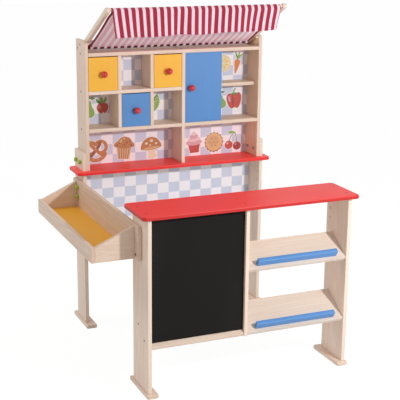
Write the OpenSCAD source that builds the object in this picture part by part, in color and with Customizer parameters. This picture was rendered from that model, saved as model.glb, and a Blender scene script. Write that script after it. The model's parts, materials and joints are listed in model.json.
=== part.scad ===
// Toy market stall: a counter with slanted display shelves, a rear cabinet with drawers and a
// sliding door under a striped awning, and a side tray that is bolted between the two units.
// Millimetres, +Z up. The customer stands on the -Y side, and the origin lies on the floor in
// the middle of the footprint. Inside the modules, x runs from the outer face of the left side
// boards, y from the front of the counter's side panels and z from the floor.

/* [Overall] */
// Width over the outer faces of the side boards of both units
unit_w = 720; // [660:10:800]
// Distance from the front of the counter to the front of the rear unit
unit_gap = 664; // [600:4:740]

/* [Boards] */
// Thickness of the solid boards
board_t = 13; // [11:0.5:15]
// Thickness of the back panels and of the blackboard
panel_t = 4; // [3:0.5:5]
// Depth of the grooves that hold the thin panels
groove_depth = 5; // [3:0.5:6]
// Radius of the corners of the painted top boards, in plan
plate_r = 14; // [6:1:18]
// Width of the eased edges of the painted top boards
plate_ease = 2; // [1:0.5:3]

/* [Clearances] */
// Gap round pieces that slide or slot into one another
slot_gap = 0.3; // [0.2:0.05:0.5]
// Radial play of the bolts in their holes
bolt_play = 0.25; // [0.15:0.05:0.5]
// Radial play of glued pegs and rods in their holes
peg_play = 0.15; // [0.1:0.05:0.25]

/* [Counter] */
// Height of the counter's upper face
counter_h = 605; // [560:5:660]
// Depth of the counter's side panels
counter_d = 138; // [126:2:160]
// Overhang of the counter top at the sides
top_side_over = 21; // [10:1:30]
// Overhang of the counter top at the customer side
top_front_over = 17; // [10:1:30]
// Overhang of the counter top at the seller's side
top_back_over = 30; // [10:1:40]
// Distance from the left outer face to the divider
divider_x = 334; // [280:2:380]
// Height of the divider's lower end
divider_z = 161; // [150:1:162]
// Setback of the blackboard from the front edges
blackboard_setback = 12; // [6:1:20]
// Tilt of the two display shelves, in degrees
shelf_tilt = 33; // [26:0.5:36]
// Width of the upper display shelf, along its slope
upper_shelf_len = 117; // [100:1:134]
// Width of the lower display shelf, along its slope
lower_shelf_len = 129; // [100:1:134]
// Drop from the counter top to the upper display shelf's front edge
upper_shelf_drop = 203; // [180:1:240]
// Height of the lower display shelf's front edge
lower_shelf_z = 172; // [172:1:200]
// Tilt of the trough board behind the blackboard, in degrees
trough_tilt = 32; // [25:1:36]
// Height of the trough board's front edge
trough_z = 172; // [172:1:190]
// Thickness of the lip on each display shelf, along the slope
lip_t = 15; // [12:1:20]
// Height of the lip above its shelf
lip_h = 24; // [16:1:28]
// Distance from the shelf's front edge to the lip, along the slope
lip_setback = 10; // [8:1:20]
// Distance from the ends of the lip to the boards beside it
lip_end_gap = 33; // [10:1:40]

/* [Feet] */
// Thickness of the feet
foot_t = 14; // [11:0.5:18]
// Length of the feet, from front to back
foot_len = 170; // [164:2:200]
// Reach of the feet past the outer face of their board
foot_out = 6; // [4:1:12]
// Reach of the feet past the inner face of their board
foot_in = 20; // [12:1:30]
// Reach of the counter's feet past the front of the panels
counter_foot_front = 10; // [4:1:14]
// Radius of the corners of the feet, in plan
foot_r = 5; // [3:0.5:6]

/* [Rear unit] */
// Depth of the rear posts and of the cabinet's sides
post_d = 102; // [96:2:120]
// Height of the upper face of the rear shelf
rear_shelf_h = 595; // [560:5:640]
// Overhang of the rear shelf at the sides
shelf_side_over = 24; // [18:1:34]
// Overhang of the rear shelf at the front
shelf_front_over = 20; // [14:1:30]
// Reach of the posts above the rear shelf
post_reach = 67; // [60:1:90]
// Radius of the posts' upper corners
post_r = 5; // [2:1:8]
// Height of the panel between the posts
lower_panel_h = 240; // [180:5:300]
// Setback of that panel from the back of the posts
lower_panel_setback = 5; // [3:0.5:10]

/* [Cabinet] */
// Height of the cabinet's sides above the rear shelf
cabinet_h = 465; // [450:5:520]
// Radius of the upper front corners of the cabinet's sides
side_r = 18; // [6:1:24]
// Drop from the top of the sides to the upper face of the top board
top_board_drop = 42; // [38:1:50]
// Drop from the top of the sides to the upper edge of the back panel
back_panel_drop = 8; // [2:1:16]
// Clear height of the two rows of compartments
row_h = 123; // [115:1:126]
// Clear width of the part with three columns, left of the main divider
cubby_w = 357; // [330:3:384]
// Setback of the shelf behind the sliding door
door_shelf_setback = 28; // [24:1:40]

/* [Sliding door] */
// Thickness of the sliding door
door_t = 6; // [4:0.5:8]
// Wood left in front of the door's grooves
groove_lip = 8; // [5:0.5:10]
// Depth of the groove under the door
lower_groove = 4; // [3:0.5:5]
// Depth of the groove over the door, which lets it be lifted out
upper_groove = 8; // [7:0.5:9]
// Gap between the door and the main divider
door_end_gap = 1; // [0.5:0.5:2]

/* [Drawers] */
// Thickness of the drawer fronts
front_t = 12; // [9:0.5:14]
// Thickness of the drawer walls
wall_t = 6; // [5:0.5:8]
// Height of the drawer walls
wall_h = 82; // [60:2:100]
// Thickness of the drawer bottoms
bottom_t = 3; // [2:0.5:4]
// Depth of the grooves that hold the drawer bottoms
bottom_groove = 3; // [2:0.5:4]
// Height of the drawer bottoms above the lower edge of the walls
bottom_lift = 4; // [3:0.5:6]
// Gap beside a drawer
drawer_side_gap = 1; // [0.5:0.25:2]
// Gap over a drawer front
drawer_top_gap = 3; // [2:0.5:5]
// Gap between a drawer and the back panel
drawer_back_gap = 4; // [2:0.5:8]

/* [Ball knobs] */
// Diameter of the ball knobs
ball_d = 24; // [20:1:30]
// Diameter of the turned neck behind the ball
ball_neck_d = 12; // [9:0.5:14]
// Length of the neck
ball_neck_l = 3; // [2:0.5:5]
// Diameter of the glued spigot
spigot_d = 6; // [4:0.5:8]
// Distance from the door's left edge to its knob
door_knob_inset = 24; // [18:1:40]

/* [Tray] */
// Reach of the tray past the posts
tray_reach = 155; // [130:5:180]
// Gap between the tray's inner wall and the lower of the counter top and the rear shelf
tray_top_gap = 25; // [15:1:40]
// Height of the tray's inner wall
tray_wall_h = 112; // [104:2:124]
// Radius of the upper corners of the tray's inner wall
tray_wall_r = 10; // [4:1:16]
// Height of the tray's outer lip
tray_lip_h = 49; // [36:1:60]
// Drop from the top of the inner wall to the end boards
tray_end_drop = 5; // [2:1:10]
// Reach of the inner wall past the end boards
tray_wall_over = 33; // [28:1:40]
// Distance from the tray's bolts to the end boards
tray_bolt_gap = 17; // [14:1:24]
// Distance from the tray's bolts to the edge of the board they pass through
tray_bolt_inset = 23; // [16:1:30]
// Drop from the top of the inner wall to the upper bolt
tray_bolt_drop = 25; // [18:1:30]
// Distance between the two bolts at each end of the tray
tray_bolt_pitch = 34; // [26:1:40]

/* [Thumb knobs] */
// Diameter of the thumb knobs
thumb_d = 16; // [14:0.5:20]
// Height of the thumb knobs
thumb_h = 11; // [9:0.5:14]
// Diameter of the bolts
bolt_d = 6; // [4:0.5:7]
// Diameter of the nuts
nut_d = 12; // [10:0.5:14]
// Thickness of the nuts
nut_t = 5; // [4:0.5:6]
// Height of the cabinet's bolts above the rear shelf
cabinet_bolt_z = 29; // [22:1:40]
// Distance between the two cabinet bolts on each side
cabinet_bolt_pitch = 50; // [40:1:60]

/* [Awning] */
// Thickness of the awning's arms
arm_t = 14; // [12:0.5:16]
// Width of the awning's arms
arm_w = 18; // [16:1:24]
// Rise of the arms towards the front, in degrees
arm_rise = 28.5; // [26:0.5:34]
// Distance between the two rods, along the arms
rod_span = 298; // [280:2:330]
// Distance from the front of the rear unit back to the rear rod
rear_rod_y = 60; // [54:1:64]
// Height of the rear rod above the top board
rear_rod_z = 23; // [20:1:28]
// Diameter of the two rods
rod_d = 10; // [8:0.5:11]
// Depth of the blind holes that hold the rods and pegs
rod_seat = 6; // [4:0.5:8]
// Diameter of the pegs under the arms
peg_d = 10; // [8:0.5:12]
// Length of the pegs outside the sides
peg_l = 9; // [6:0.5:12]
// Distance from the rear rod to the pegs, along the arms
peg_back = 46; // [40:1:52]
// Thickness of the awning's cloth with its hems
cloth_t = 1.2; // [0.8:0.1:1.6]
// Gap between the cloth and the arms
cloth_side_gap = 6; // [2:0.5:8]
// Gap between the cloth's tunnels and the rods
sleeve_gap = 0.8; // [0.5:0.1:1]
// Slack of the rear tunnel, which hangs below its rod
tunnel_slack = 3; // [1:0.5:4]
// Radius of the seam that closes each tunnel
seam_r = 1.6; // [1.4:0.1:2]
// Radius of the cloth's bend in front of the front rod
bend_r = 18; // [14:1:28]
// Drop from the front rod to the valance's lower edge
valance_drop = 88; // [70:2:110]
// How far each side of the valance draws in at the lower edge
valance_draw = 8; // [0:1:12]
// Sag of the roof between the rods
roof_sag = 5; // [2:1:10]
// Depth of the broad folds at the valance's lower edge
fold_depth = 5; // [2:0.5:8]
// Depth of the finer folds between them
fine_fold_depth = 2; // [1:0.5:3]

/* [Hidden] */
$fn = 48;

// Extra length of every cut past the face it opens
overrun = 1;

// Colours of the finished pieces
wood = "#E8D9C6";
red = "#DB423D";
yellow = "#F7BE47";
blue = "#6A9FD8";
green = "#98B52F";
slate = "#2A2829";
print_blue = "#D5DAE8";
steel = "#B9BCC0";
cloth_red = "#B8405A";

// Counter
top_under = counter_h - board_t;
right_in = unit_w - board_t;
bay_x = divider_x + board_t;
upper_shelf_z = top_under - upper_shelf_drop;
trough_len = (counter_d - board_t * sin(trough_tilt)) / cos(trough_tilt);
blackboard_y = blackboard_setback;
blackboard_back = blackboard_y + panel_t;
blackboard_z = trough_z + tan(trough_tilt) * blackboard_back + slot_gap;
lip_len = right_in - bay_x - 2 * lip_end_gap;

// Rear unit
rear_back = unit_gap + post_d;
rear_shelf_under = rear_shelf_h - board_t;
rear_foot_front = (foot_len - post_d) / 2;
post_top = rear_shelf_h + post_reach;
lower_panel_y = rear_back - lower_panel_setback - panel_t;
lower_panel_z = rear_shelf_under - lower_panel_h;

// Cabinet
side_in = 2 * board_t;
far_side_in = unit_w - side_in;
side_top = rear_shelf_h + cabinet_h;
shelf_back = rear_back - panel_t;
top_board_top = side_top - top_board_drop;
top_board_z = top_board_top - board_t;
mid_top = top_board_z - row_h;
mid_z = mid_top - board_t;
low_top = mid_z - row_h;
low_z = low_top - board_t;
main_divider_x = side_in + cubby_w;
door_bay_x = main_divider_x + board_t;
columns = 3;
column_w = (cubby_w - (columns - 1) * board_t) / columns;
lap_y = (unit_gap + shelf_back) / 2;

// Door
door_y = unit_gap + groove_lip;
door_w = (far_side_in - door_bay_x) / 2;
door_x = door_bay_x + door_end_gap;
door_z = low_top - lower_groove + slot_gap;
door_top = top_board_z + upper_groove - lower_groove - 2 * slot_gap;
door_mid_z = (low_top + top_board_z) / 2;

// Drawers, as column and row from the lower left
drawer_w = column_w - 2 * drawer_side_gap;
drawer_front_h = row_h - slot_gap - drawer_top_gap;
wall_back = shelf_back - drawer_back_gap;
spigot_l = door_t - slot_gap;

// Tray
tray_in = -board_t;
tray_lip_x = -tray_reach;
tray_lip_in = tray_lip_x + board_t;
tray_top = min(top_under, rear_shelf_under) - tray_top_gap;
tray_z = tray_top - tray_wall_h;
tray_bolt_ys = [counter_d - tray_bolt_inset, unit_gap + tray_bolt_inset];
tray_bolt_zs = [tray_top - tray_bolt_drop - tray_bolt_pitch, tray_top - tray_bolt_drop];
tray_front_in = tray_bolt_ys[0] - tray_bolt_gap;
tray_front = tray_front_in - board_t;
tray_rear_in = tray_bolt_ys[1] + tray_bolt_gap;
tray_rear = tray_rear_in + board_t;

// Bolts of the cabinet
cabinet_bolt_ys = [for (side = [-1, 1]) unit_gap + (post_d + side * cabinet_bolt_pitch) / 2];
cabinet_bolt_h = rear_shelf_h + cabinet_bolt_z;
bolt_hole_d = bolt_d + 2 * bolt_play;

// Thumb knob: lobes round the rim, a collar under it and a shallow dome on top
thumb_lobes = 7;
thumb_groove_d = thumb_d / 5;
thumb_collar_d = thumb_d * 0.7;
thumb_collar_h = thumb_h / 5;
thumb_dome_r = thumb_d * 0.9;
thumb_bore_l = thumb_h / 2;
bolt_grip = 2 * board_t;

// Awning, as [y, z] points in the plane of the arms
rod_dir = [-cos(arm_rise), sin(arm_rise)];
rod_up = [sin(arm_rise), cos(arm_rise)];
up_angle = 90 - arm_rise;
rear_rod = [unit_gap + rear_rod_y, top_board_top + rear_rod_z];
front_rod = rear_rod + rod_span * rod_dir;
arm_tail = rear_rod_z / sin(arm_rise) + arm_w;
arm_in = side_in + arm_t;
far_arm_in = unit_w - arm_in;
peg_at = rear_rod + peg_back * rod_dir - (arm_w / 2 + peg_d / 2 + slot_gap) * rod_up;
peg_seat = rod_seat;

// Cloth: one sheet with a tunnel round each rod, a roof from seam to seam and a valance.
// Its angles go from the back at 0 to the top at 90.
function heading(angle) = [cos(angle), sin(angle)];
function mix(a, b, u) = a + (b - a) * u;
cloth_x = arm_in + cloth_side_gap;
cloth_w = far_arm_in - arm_in - 2 * cloth_side_gap;
sleeve_r = rod_d / 2 + sleeve_gap + cloth_t / 2;
rear_wrap = [-125, 200];
front_wrap = [-75, 120];
roof_angle = up_angle - 180;
bend_end = 180;
rear_sleeve_r = sleeve_r + tunnel_slack;
rear_tunnel = rear_rod - [0, tunnel_slack];
rear_seam = rear_tunnel + (rear_sleeve_r + seam_r) * heading(rear_wrap[1]);
front_seam = front_rod + (sleeve_r + seam_r) * heading(front_wrap[0]);
bend_centre = front_rod - (bend_r - sleeve_r) * heading(front_wrap[1]);
valance_top = bend_centre + bend_r * heading(bend_end);
valance_dir = [-sin(bend_end), cos(bend_end)];
valance_l = (valance_top.y - front_rod.y + valance_drop) / -valance_dir.y;
rear_steps = 7;
seam_steps = 2;
roof_steps = 3;
front_steps = 5;
bend_steps = 2;
valance_steps = 3;
cloth_cols = 22;
broad_folds = 4.5;
fine_folds = 6.5;
fine_fold_phase = 50;
roof_fold_share = 0.3;
bend_fold_share = 0.2;

// The middle of the footprint
x_mid = (unit_w + shelf_side_over - tray_reach) / 2;
y_mid = (rear_back + foot_len - post_d - rear_foot_front - top_front_over) / 2;

module placed() {
    translate([-x_mid, -y_mid, 0])
        children();
}

// A block between two corners
module block(from, to) {
    translate(from)
        cube(to - from);
}

// A flat outline drawn in y and z, stretched along x
module along_x(x, length) {
    translate([x, 0, 0])
        rotate([90, 0, 90])
            linear_extrude(length)
                children();
}

// The same piece at the right-hand side
module mirrored() {
    translate([unit_w, 0, 0])
        mirror([1, 0, 0])
            children();
}

module both_sides() {
    children();
    mirrored()
        children();
}

// Rectangle with four round corners
module round_rect(from, to, r) {
    size = to - from;
    translate(from + [r, 0])
        square([size.x - 2 * r, size.y]);
    translate(from + [0, r])
        square([size.x, size.y - 2 * r]);
    for (x = [from.x + r, to.x - r], y = [from.y + r, to.y - r])
        translate([x, y])
            circle(r);
}

// Board outline in y and z with round upper corners
module round_topped(from, to, r) {
    intersection() {
        round_rect(from - [0, 2 * r], to, r);
        translate(from)
            square(to - from);
    }
}

// Octagon that a flat bar with eased edges shows at its end
module eased_end(from, to, ease) {
    polygon([
        from + [ease, 0], [to.x - ease, from.y], [to.x, from.y + ease], to - [0, ease],
        to - [ease, 0], [from.x + ease, to.y], [from.x, to.y - ease], from + [0, ease]]);
}

// Flat board with round corners in plan and eased edges all round
module eased_plate(from, to, r, ease) {
    h = to.z - from.z;
    along_x(from.x + r, to.x - from.x - 2 * r)
        eased_end([from.y, from.z], [to.y, to.z], ease);
    translate([0, to.y - r, 0])
        rotate([90, 0, 0])
            linear_extrude(to.y - from.y - 2 * r)
                eased_end([from.x, from.z], [to.x, to.z], ease);
    for (x = [from.x + r, to.x - r], y = [from.y + r, to.y - r])
        translate([x, y, from.z])
            rotate_extrude()
                polygon([[0, 0], [r - ease, 0], [r, ease], [r, h - ease], [r - ease, h], [0, h]]);
}

// Outline in y and z of a board that rises to the back, with its upper front edge at z
module tilted_board(z, tilt, length) {
    translate([0, z])
        rotate(tilt)
            translate([0, -board_t])
                square([length, board_t]);
}

// Holes along x for the bolts of one end of the tray
module tray_bolt_holes(x, length, y) {
    for (z = tray_bolt_zs)
        translate([x, y, z])
            rotate([0, 90, 0])
                cylinder(d = bolt_hole_d, h = length);
}

// Holes along x for the bolts between a post and the cabinet
module cabinet_bolt_holes(x, length) {
    for (y = cabinet_bolt_ys)
        translate([x, y, cabinet_bolt_h])
            rotate([0, 90, 0])
                cylinder(d = bolt_hole_d, h = length);
}

// Groove for the blackboard, open at the top
module blackboard_groove(x) {
    block([x, blackboard_y - slot_gap, blackboard_z - slot_gap],
        [x + groove_depth + overrun, blackboard_back + slot_gap, top_under + overrun]);
}

module counter_top() {
    color(red)
        placed()
            eased_plate([-top_side_over, -top_front_over, top_under],
                [unit_w + top_side_over, counter_d + top_back_over, counter_h],
                plate_r, plate_ease);
}

// Side panel of the counter at the left, with the holes for the tray
module counter_panel() {
    difference() {
        block([0, 0, foot_t], [board_t, counter_d, top_under]);
        tray_bolt_holes(-overrun, board_t + 2 * overrun, tray_bolt_ys[0]);
    }
}

module counter_left_panel() {
    color(wood)
        placed()
            difference() {
                counter_panel();
                blackboard_groove(board_t - groove_depth);
            }
}

module counter_right_panel() {
    color(wood)
        placed()
            mirrored()
                counter_panel();
}

module counter_divider() {
    color(wood)
        placed()
            difference() {
                block([divider_x, 0, divider_z], [bay_x, counter_d, top_under]);
                blackboard_groove(divider_x - overrun);
            }
}

module blackboard() {
    inset = groove_depth - slot_gap;
    color(slate)
        placed()
            block([board_t - inset, blackboard_y, blackboard_z],
                [divider_x + inset, blackboard_back, top_under]);
}

module counter_trough_board() {
    color(wood)
        placed()
            along_x(board_t, divider_x - board_t)
                tilted_board(trough_z, trough_tilt, trough_len);
}

module display_shelf(z, length) {
    color(wood)
        placed()
            along_x(bay_x, right_in - bay_x)
                tilted_board(z, shelf_tilt, length);
}

module upper_slanted_shelf() {
    display_shelf(upper_shelf_z, upper_shelf_len);
}

module lower_slanted_shelf() {
    display_shelf(lower_shelf_z, lower_shelf_len);
}

module shelf_lips() {
    color(blue)
        placed()
            for (z = [upper_shelf_z, lower_shelf_z])
                along_x(bay_x + lip_end_gap, lip_len)
                    translate([0, z])
                        rotate(shelf_tilt)
                            translate([lip_setback, 0])
                                square([lip_t, lip_h]);
}

// Foot of the left-hand boards, with its front end at y
module foot(y) {
    eased_plate([-foot_out, y, 0], [board_t + foot_in, y + foot_len, foot_t],
        foot_r, plate_ease);
}

module counter_left_foot() {
    color(wood)
        placed()
            foot(-counter_foot_front);
}

module counter_right_foot() {
    color(wood)
        placed()
            mirrored()
                foot(-counter_foot_front);
}

module rear_left_foot() {
    color(wood)
        placed()
            foot(unit_gap - rear_foot_front);
}

module rear_right_foot() {
    color(wood)
        placed()
            mirrored()
                foot(unit_gap - rear_foot_front);
}

// Rear post at the left: holes for the tray and the cabinet, and a stopped groove
module post() {
    difference() {
        along_x(0, board_t)
            round_topped([unit_gap, foot_t], [rear_back, post_top], post_r);
        tray_bolt_holes(-overrun, board_t + 2 * overrun, tray_bolt_ys[1]);
        cabinet_bolt_holes(-overrun, board_t + 2 * overrun);
        block([board_t - groove_depth, lower_panel_y - slot_gap, lower_panel_z - slot_gap],
            [board_t + overrun, lower_panel_y + panel_t + slot_gap, rear_shelf_under + overrun]);
    }
}

module rear_left_post() {
    color(wood)
        placed()
            post();
}

module rear_right_post() {
    color(wood)
        placed()
            mirrored()
                post();
}

// Painted shelf, notched from the back for the two posts
module rear_shelf() {
    color(red)
        placed()
            difference() {
                eased_plate([-shelf_side_over, unit_gap - shelf_front_over, rear_shelf_under],
                    [unit_w + shelf_side_over, rear_back, rear_shelf_h], plate_r, plate_ease);
                both_sides()
                    block([-slot_gap, unit_gap - slot_gap, rear_shelf_under - overrun],
                        [board_t + slot_gap, rear_back + overrun, rear_shelf_h + overrun]);
            }
}

module lower_back_panel() {
    inset = board_t - groove_depth + slot_gap;
    color(print_blue)
        placed()
            block([inset, lower_panel_y, lower_panel_z],
                [unit_w - inset, lower_panel_y + panel_t, rear_shelf_under]);
}

// Blind holes for a rod or peg, along x from the face at x
module seat_hole(x, at, d, depth) {
    translate([x, at.x, at.y])
        rotate([0, 90, 0])
            cylinder(d = d + 2 * peg_play, h = depth);
}

// Side of the cabinet at the left, with a round upper front corner
module cabinet_side() {
    difference() {
        along_x(board_t, board_t)
            union() {
                round_topped([unit_gap, rear_shelf_h], [rear_back, side_top], side_r);
                translate([rear_back - side_r, rear_shelf_h])
                    square([side_r, cabinet_h]);
            }
        cabinet_bolt_holes(board_t - overrun, board_t + 2 * overrun);
        seat_hole(side_in - peg_seat, peg_at, peg_d, peg_seat + overrun);
    }
}

module cabinet_left_side() {
    color(wood)
        placed()
            cabinet_side();
}

module cabinet_right_side() {
    color(wood)
        placed()
            mirrored()
                cabinet_side();
}

// Groove for the sliding door, from the main divider to the right side
module door_groove(z_from, z_to) {
    block([door_bay_x, door_y - slot_gap, z_from],
        [far_side_in + overrun, door_y + door_t + slot_gap, z_to]);
}

module cabinet_top_board() {
    color(wood)
        placed()
            difference() {
                block([side_in, unit_gap, top_board_z], [far_side_in, shelf_back, top_board_top]);
                door_groove(top_board_z - overrun, top_board_z + upper_groove);
            }
}

module main_divider() {
    color(wood)
        placed()
            block([main_divider_x, unit_gap, rear_shelf_h],
                [door_bay_x, shelf_back, top_board_z]);
}

// Left face of a short divider
function short_divider_x(index) = side_in + index * (column_w + board_t) - board_t;

// The dividers are slotted from the front, and the middle shelf from the back
module short_dividers() {
    color(wood)
        placed()
            for (index = [1 : columns - 1])
                difference() {
                    block([short_divider_x(index), unit_gap, low_top],
                        [short_divider_x(index) + board_t, shelf_back, top_board_z]);
                    block([short_divider_x(index) - overrun, unit_gap - overrun, mid_z - slot_gap],
                        [short_divider_x(index) + board_t + overrun, lap_y + slot_gap,
                            mid_top + slot_gap]);
                }
}

module mid_shelf() {
    color(wood)
        placed()
            difference() {
                block([side_in, unit_gap, mid_z], [main_divider_x, shelf_back, mid_top]);
                for (index = [1 : columns - 1])
                    block([short_divider_x(index) - slot_gap, lap_y - slot_gap, mid_z - overrun],
                        [short_divider_x(index) + board_t + slot_gap, shelf_back + overrun,
                            mid_top + overrun]);
            }
}

module lower_shelf_left() {
    color(wood)
        placed()
            block([side_in, unit_gap, low_z], [main_divider_x, shelf_back, low_top]);
}

module lower_shelf_right() {
    color(wood)
        placed()
            difference() {
                block([door_bay_x, unit_gap, low_z], [far_side_in, shelf_back, low_top]);
                door_groove(low_top - lower_groove, low_top + overrun);
            }
}

module door_shelf() {
    color(wood)
        placed()
            block([door_bay_x, unit_gap + door_shelf_setback, mid_z],
                [far_side_in, shelf_back, mid_top]);
}

module upper_back_panel() {
    color(print_blue)
        placed()
            block([side_in, shelf_back, rear_shelf_h],
                [far_side_in, rear_back, side_top - back_panel_drop]);
}

// Turned ball knob on a front face at y, with its axis along -y
module ball_knob(x, y, z) {
    translate([x, y, z])
        rotate([90, 0, 0]) {
            translate([0, 0, ball_neck_l + ball_d / 2 - (ball_d - ball_neck_d) / 6])
                sphere(d = ball_d);
            cylinder(d = ball_neck_d, h = ball_neck_l + ball_d / 4);
            translate([0, 0, -spigot_l])
                cylinder(d = spigot_d, h = spigot_l + overrun);
        }
}

// Hole for the spigot of a ball knob
module knob_hole(x, y, z) {
    translate([x, y - overrun, z])
        rotate([-90, 0, 0])
            cylinder(d = spigot_d + 2 * peg_play, h = spigot_l + overrun + slot_gap);
}

module sliding_door() {
    color(blue)
        placed()
            difference() {
                block([door_x, door_y, door_z], [door_x + door_w, door_y + door_t, door_top]);
                knob_hole(door_x + door_knob_inset, door_y, door_mid_z);
            }
}

module door_knob() {
    color(red)
        placed()
            ball_knob(door_x + door_knob_inset, door_y, door_mid_z);
}

// Lower left front corner of a compartment's drawer
function drawer_at(column, row) = [
    side_in + column * (column_w + board_t) + drawer_side_gap,
    unit_gap,
    (row == 0 ? low_top : mid_top) + slot_gap];

// Space of a drawer's bottom, grown by the gap round it
module drawer_bottom_space(at, grow) {
    inset = wall_t - bottom_groove - grow;
    block([at.x + inset, at.y + front_t - bottom_groove - grow, at.z + bottom_lift - grow],
        [at.x + drawer_w - inset, wall_back - inset, at.z + bottom_lift + bottom_t + grow]);
}

module drawer_front(at, paint) {
    knob_x = at.x + drawer_w / 2;
    knob_z = at.z + drawer_front_h / 2;
    color(paint)
        placed()
            difference() {
                block(at, at + [drawer_w, front_t, drawer_front_h]);
                drawer_bottom_space(at, slot_gap);
                knob_hole(knob_x, at.y, knob_z);
            }
}

module drawer_walls(at) {
    from_y = at.y + front_t;
    color(wood)
        placed()
            difference() {
                union() {
                    for (x = [at.x, at.x + drawer_w - wall_t])
                        block([x, from_y, at.z], [x + wall_t, wall_back, at.z + wall_h]);
                    block([at.x + wall_t + slot_gap, wall_back - wall_t, at.z],
                        [at.x + drawer_w - wall_t - slot_gap, wall_back, at.z + wall_h]);
                }
                drawer_bottom_space(at, slot_gap);
            }
}

module drawer_bottom(at) {
    color(wood)
        placed()
            drawer_bottom_space(at, 0);
}

module drawer_knob(at) {
    color(red)
        placed()
            ball_knob(at.x + drawer_w / 2, at.y, at.z + drawer_front_h / 2);
}

// Drawers a and c are in the upper row, at the left and right, and b is below in the middle
drawer_a = drawer_at(0, 1);
drawer_b = drawer_at(1, 0);
drawer_c = drawer_at(2, 1);

module tray_inner_wall() {
    color(wood)
        placed()
            difference() {
                along_x(tray_in, board_t)
                    round_topped([tray_front - tray_wall_over, tray_z],
                        [tray_rear + tray_wall_over, tray_top], tray_wall_r);
                for (y = tray_bolt_ys)
                    tray_bolt_holes(tray_in - overrun, board_t + 2 * overrun, y);
            }
}

// End board of the tray, high at the wall and low at the lip
module tray_end(y) {
    color(wood)
        placed()
            translate([0, y + board_t, 0])
                rotate([90, 0, 0])
                    linear_extrude(board_t)
                        polygon([[tray_lip_in, tray_z], [tray_in, tray_z],
                            [tray_in, tray_top - tray_end_drop],
                            [tray_lip_in, tray_z + tray_lip_h]]);
}

module tray_front_end() {
    tray_end(tray_front);
}

module tray_rear_end() {
    tray_end(tray_rear_in);
}

module tray_outer_lip() {
    color(wood)
        placed()
            block([tray_lip_x, tray_front, tray_z],
                [tray_lip_in, tray_rear, tray_z + tray_lip_h]);
}

module tray_bottom() {
    color(yellow)
        placed()
            block([tray_lip_in, tray_front_in, tray_z],
                [tray_in, tray_rear_in, tray_z + board_t]);
}

// Arm at the left: round at the front, trimmed to the top board and the back panel
module awning_arm() {
    difference() {
        along_x(side_in, arm_t)
            intersection() {
                union() {
                    translate(rear_rod)
                        rotate(180 - arm_rise)
                            translate([-arm_tail, -arm_w / 2])
                                square([rod_span + arm_tail, arm_w]);
                    translate(front_rod)
                        circle(d = arm_w);
                }
                translate([front_rod.x - arm_w, top_board_top])
                    square([shelf_back - front_rod.x + arm_w, front_rod.y + arm_w - top_board_top]);
            }
        seat_hole(arm_in - rod_seat, front_rod, rod_d, rod_seat + overrun);
        seat_hole(arm_in - rod_seat, rear_rod, rod_d, rod_seat + overrun);
    }
}

module awning_left_arm() {
    color(wood)
        placed()
            awning_arm();
}

module awning_right_arm() {
    color(wood)
        placed()
            mirrored()
                awning_arm();
}

// Rod between the arms, with its ends in their blind holes
module awning_rod(at) {
    inset = arm_in - rod_seat + slot_gap;
    color(wood)
        placed()
            translate([inset, at.x, at.y])
                rotate([0, 90, 0])
                    cylinder(d = rod_d, h = unit_w - 2 * inset);
}

module awning_front_rod() {
    awning_rod(front_rod);
}

module awning_rear_rod() {
    awning_rod(rear_rod);
}

module arm_pegs() {
    color(wood)
        placed()
            both_sides()
                translate([side_in - peg_seat + slot_gap, peg_at.x, peg_at.y])
                    rotate([0, 90, 0])
                        cylinder(d = peg_d, h = peg_seat - slot_gap + peg_l);
}

// One line of the cloth: its point, its outward normal, its share of the folds, its inset
function round_line(centre, r, angle, share) =
    [centre + r * heading(angle), heading(angle), share, 0];

function seam_line(centre, angle) = [centre + seam_r * heading(angle), -heading(angle), 0, 0];

function roof_line(u) = [
    mix(rear_seam, front_seam, u) - (seam_r + roof_sag * 4 * u * (1 - u)) * rod_up,
    rod_up,
    roof_fold_share * 4 * u * (1 - u),
    0];

function valance_line(u) = [
    valance_top + valance_l * u * valance_dir,
    heading(bend_end),
    mix(bend_fold_share, 1, u),
    valance_draw * u];

cloth_lines = concat(
    [for (i = [0 : rear_steps])
        round_line(rear_tunnel, rear_sleeve_r, mix(rear_wrap[0], rear_wrap[1], i / rear_steps), 0)],
    [for (i = [1 : seam_steps])
        seam_line(rear_seam, mix(rear_wrap[1] - 180, roof_angle, i / seam_steps))],
    [for (i = [1 : roof_steps - 1]) roof_line(i / roof_steps)],
    [for (i = [0 : seam_steps - 1])
        seam_line(front_seam, mix(roof_angle, front_wrap[0] - 180, i / seam_steps))],
    [for (i = [0 : front_steps])
        round_line(front_rod, sleeve_r, mix(front_wrap[0], front_wrap[1], i / front_steps), 0)],
    [for (i = [1 : bend_steps])
        round_line(bend_centre, bend_r, mix(front_wrap[1], bend_end, i / bend_steps),
            bend_fold_share * i / bend_steps)],
    [for (i = [1 : valance_steps]) valance_line(i / valance_steps)]);

// Height of the folds across the cloth, u going from its left edge to its right edge
function fold(u) = fold_depth * sin(360 * broad_folds * u)
    + fine_fold_depth * sin(360 * fine_folds * u + fine_fold_phase);

// Point of the cloth on line i and column j, half a thickness out or in
function cloth_point(i, j, side) =
    let (line = cloth_lines[i], u = j / cloth_cols,
        at = line[0] + (line[2] * fold(u) + side * cloth_t / 2) * line[1])
    [cloth_x + line[3] + (cloth_w - 2 * line[3]) * u, at.x, at.y];

// Two triangles for the four corners a, b, c and d, taken in turn
function two_faces(a, b, c, d) = [[a, b, c], [a, c, d]];

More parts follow.
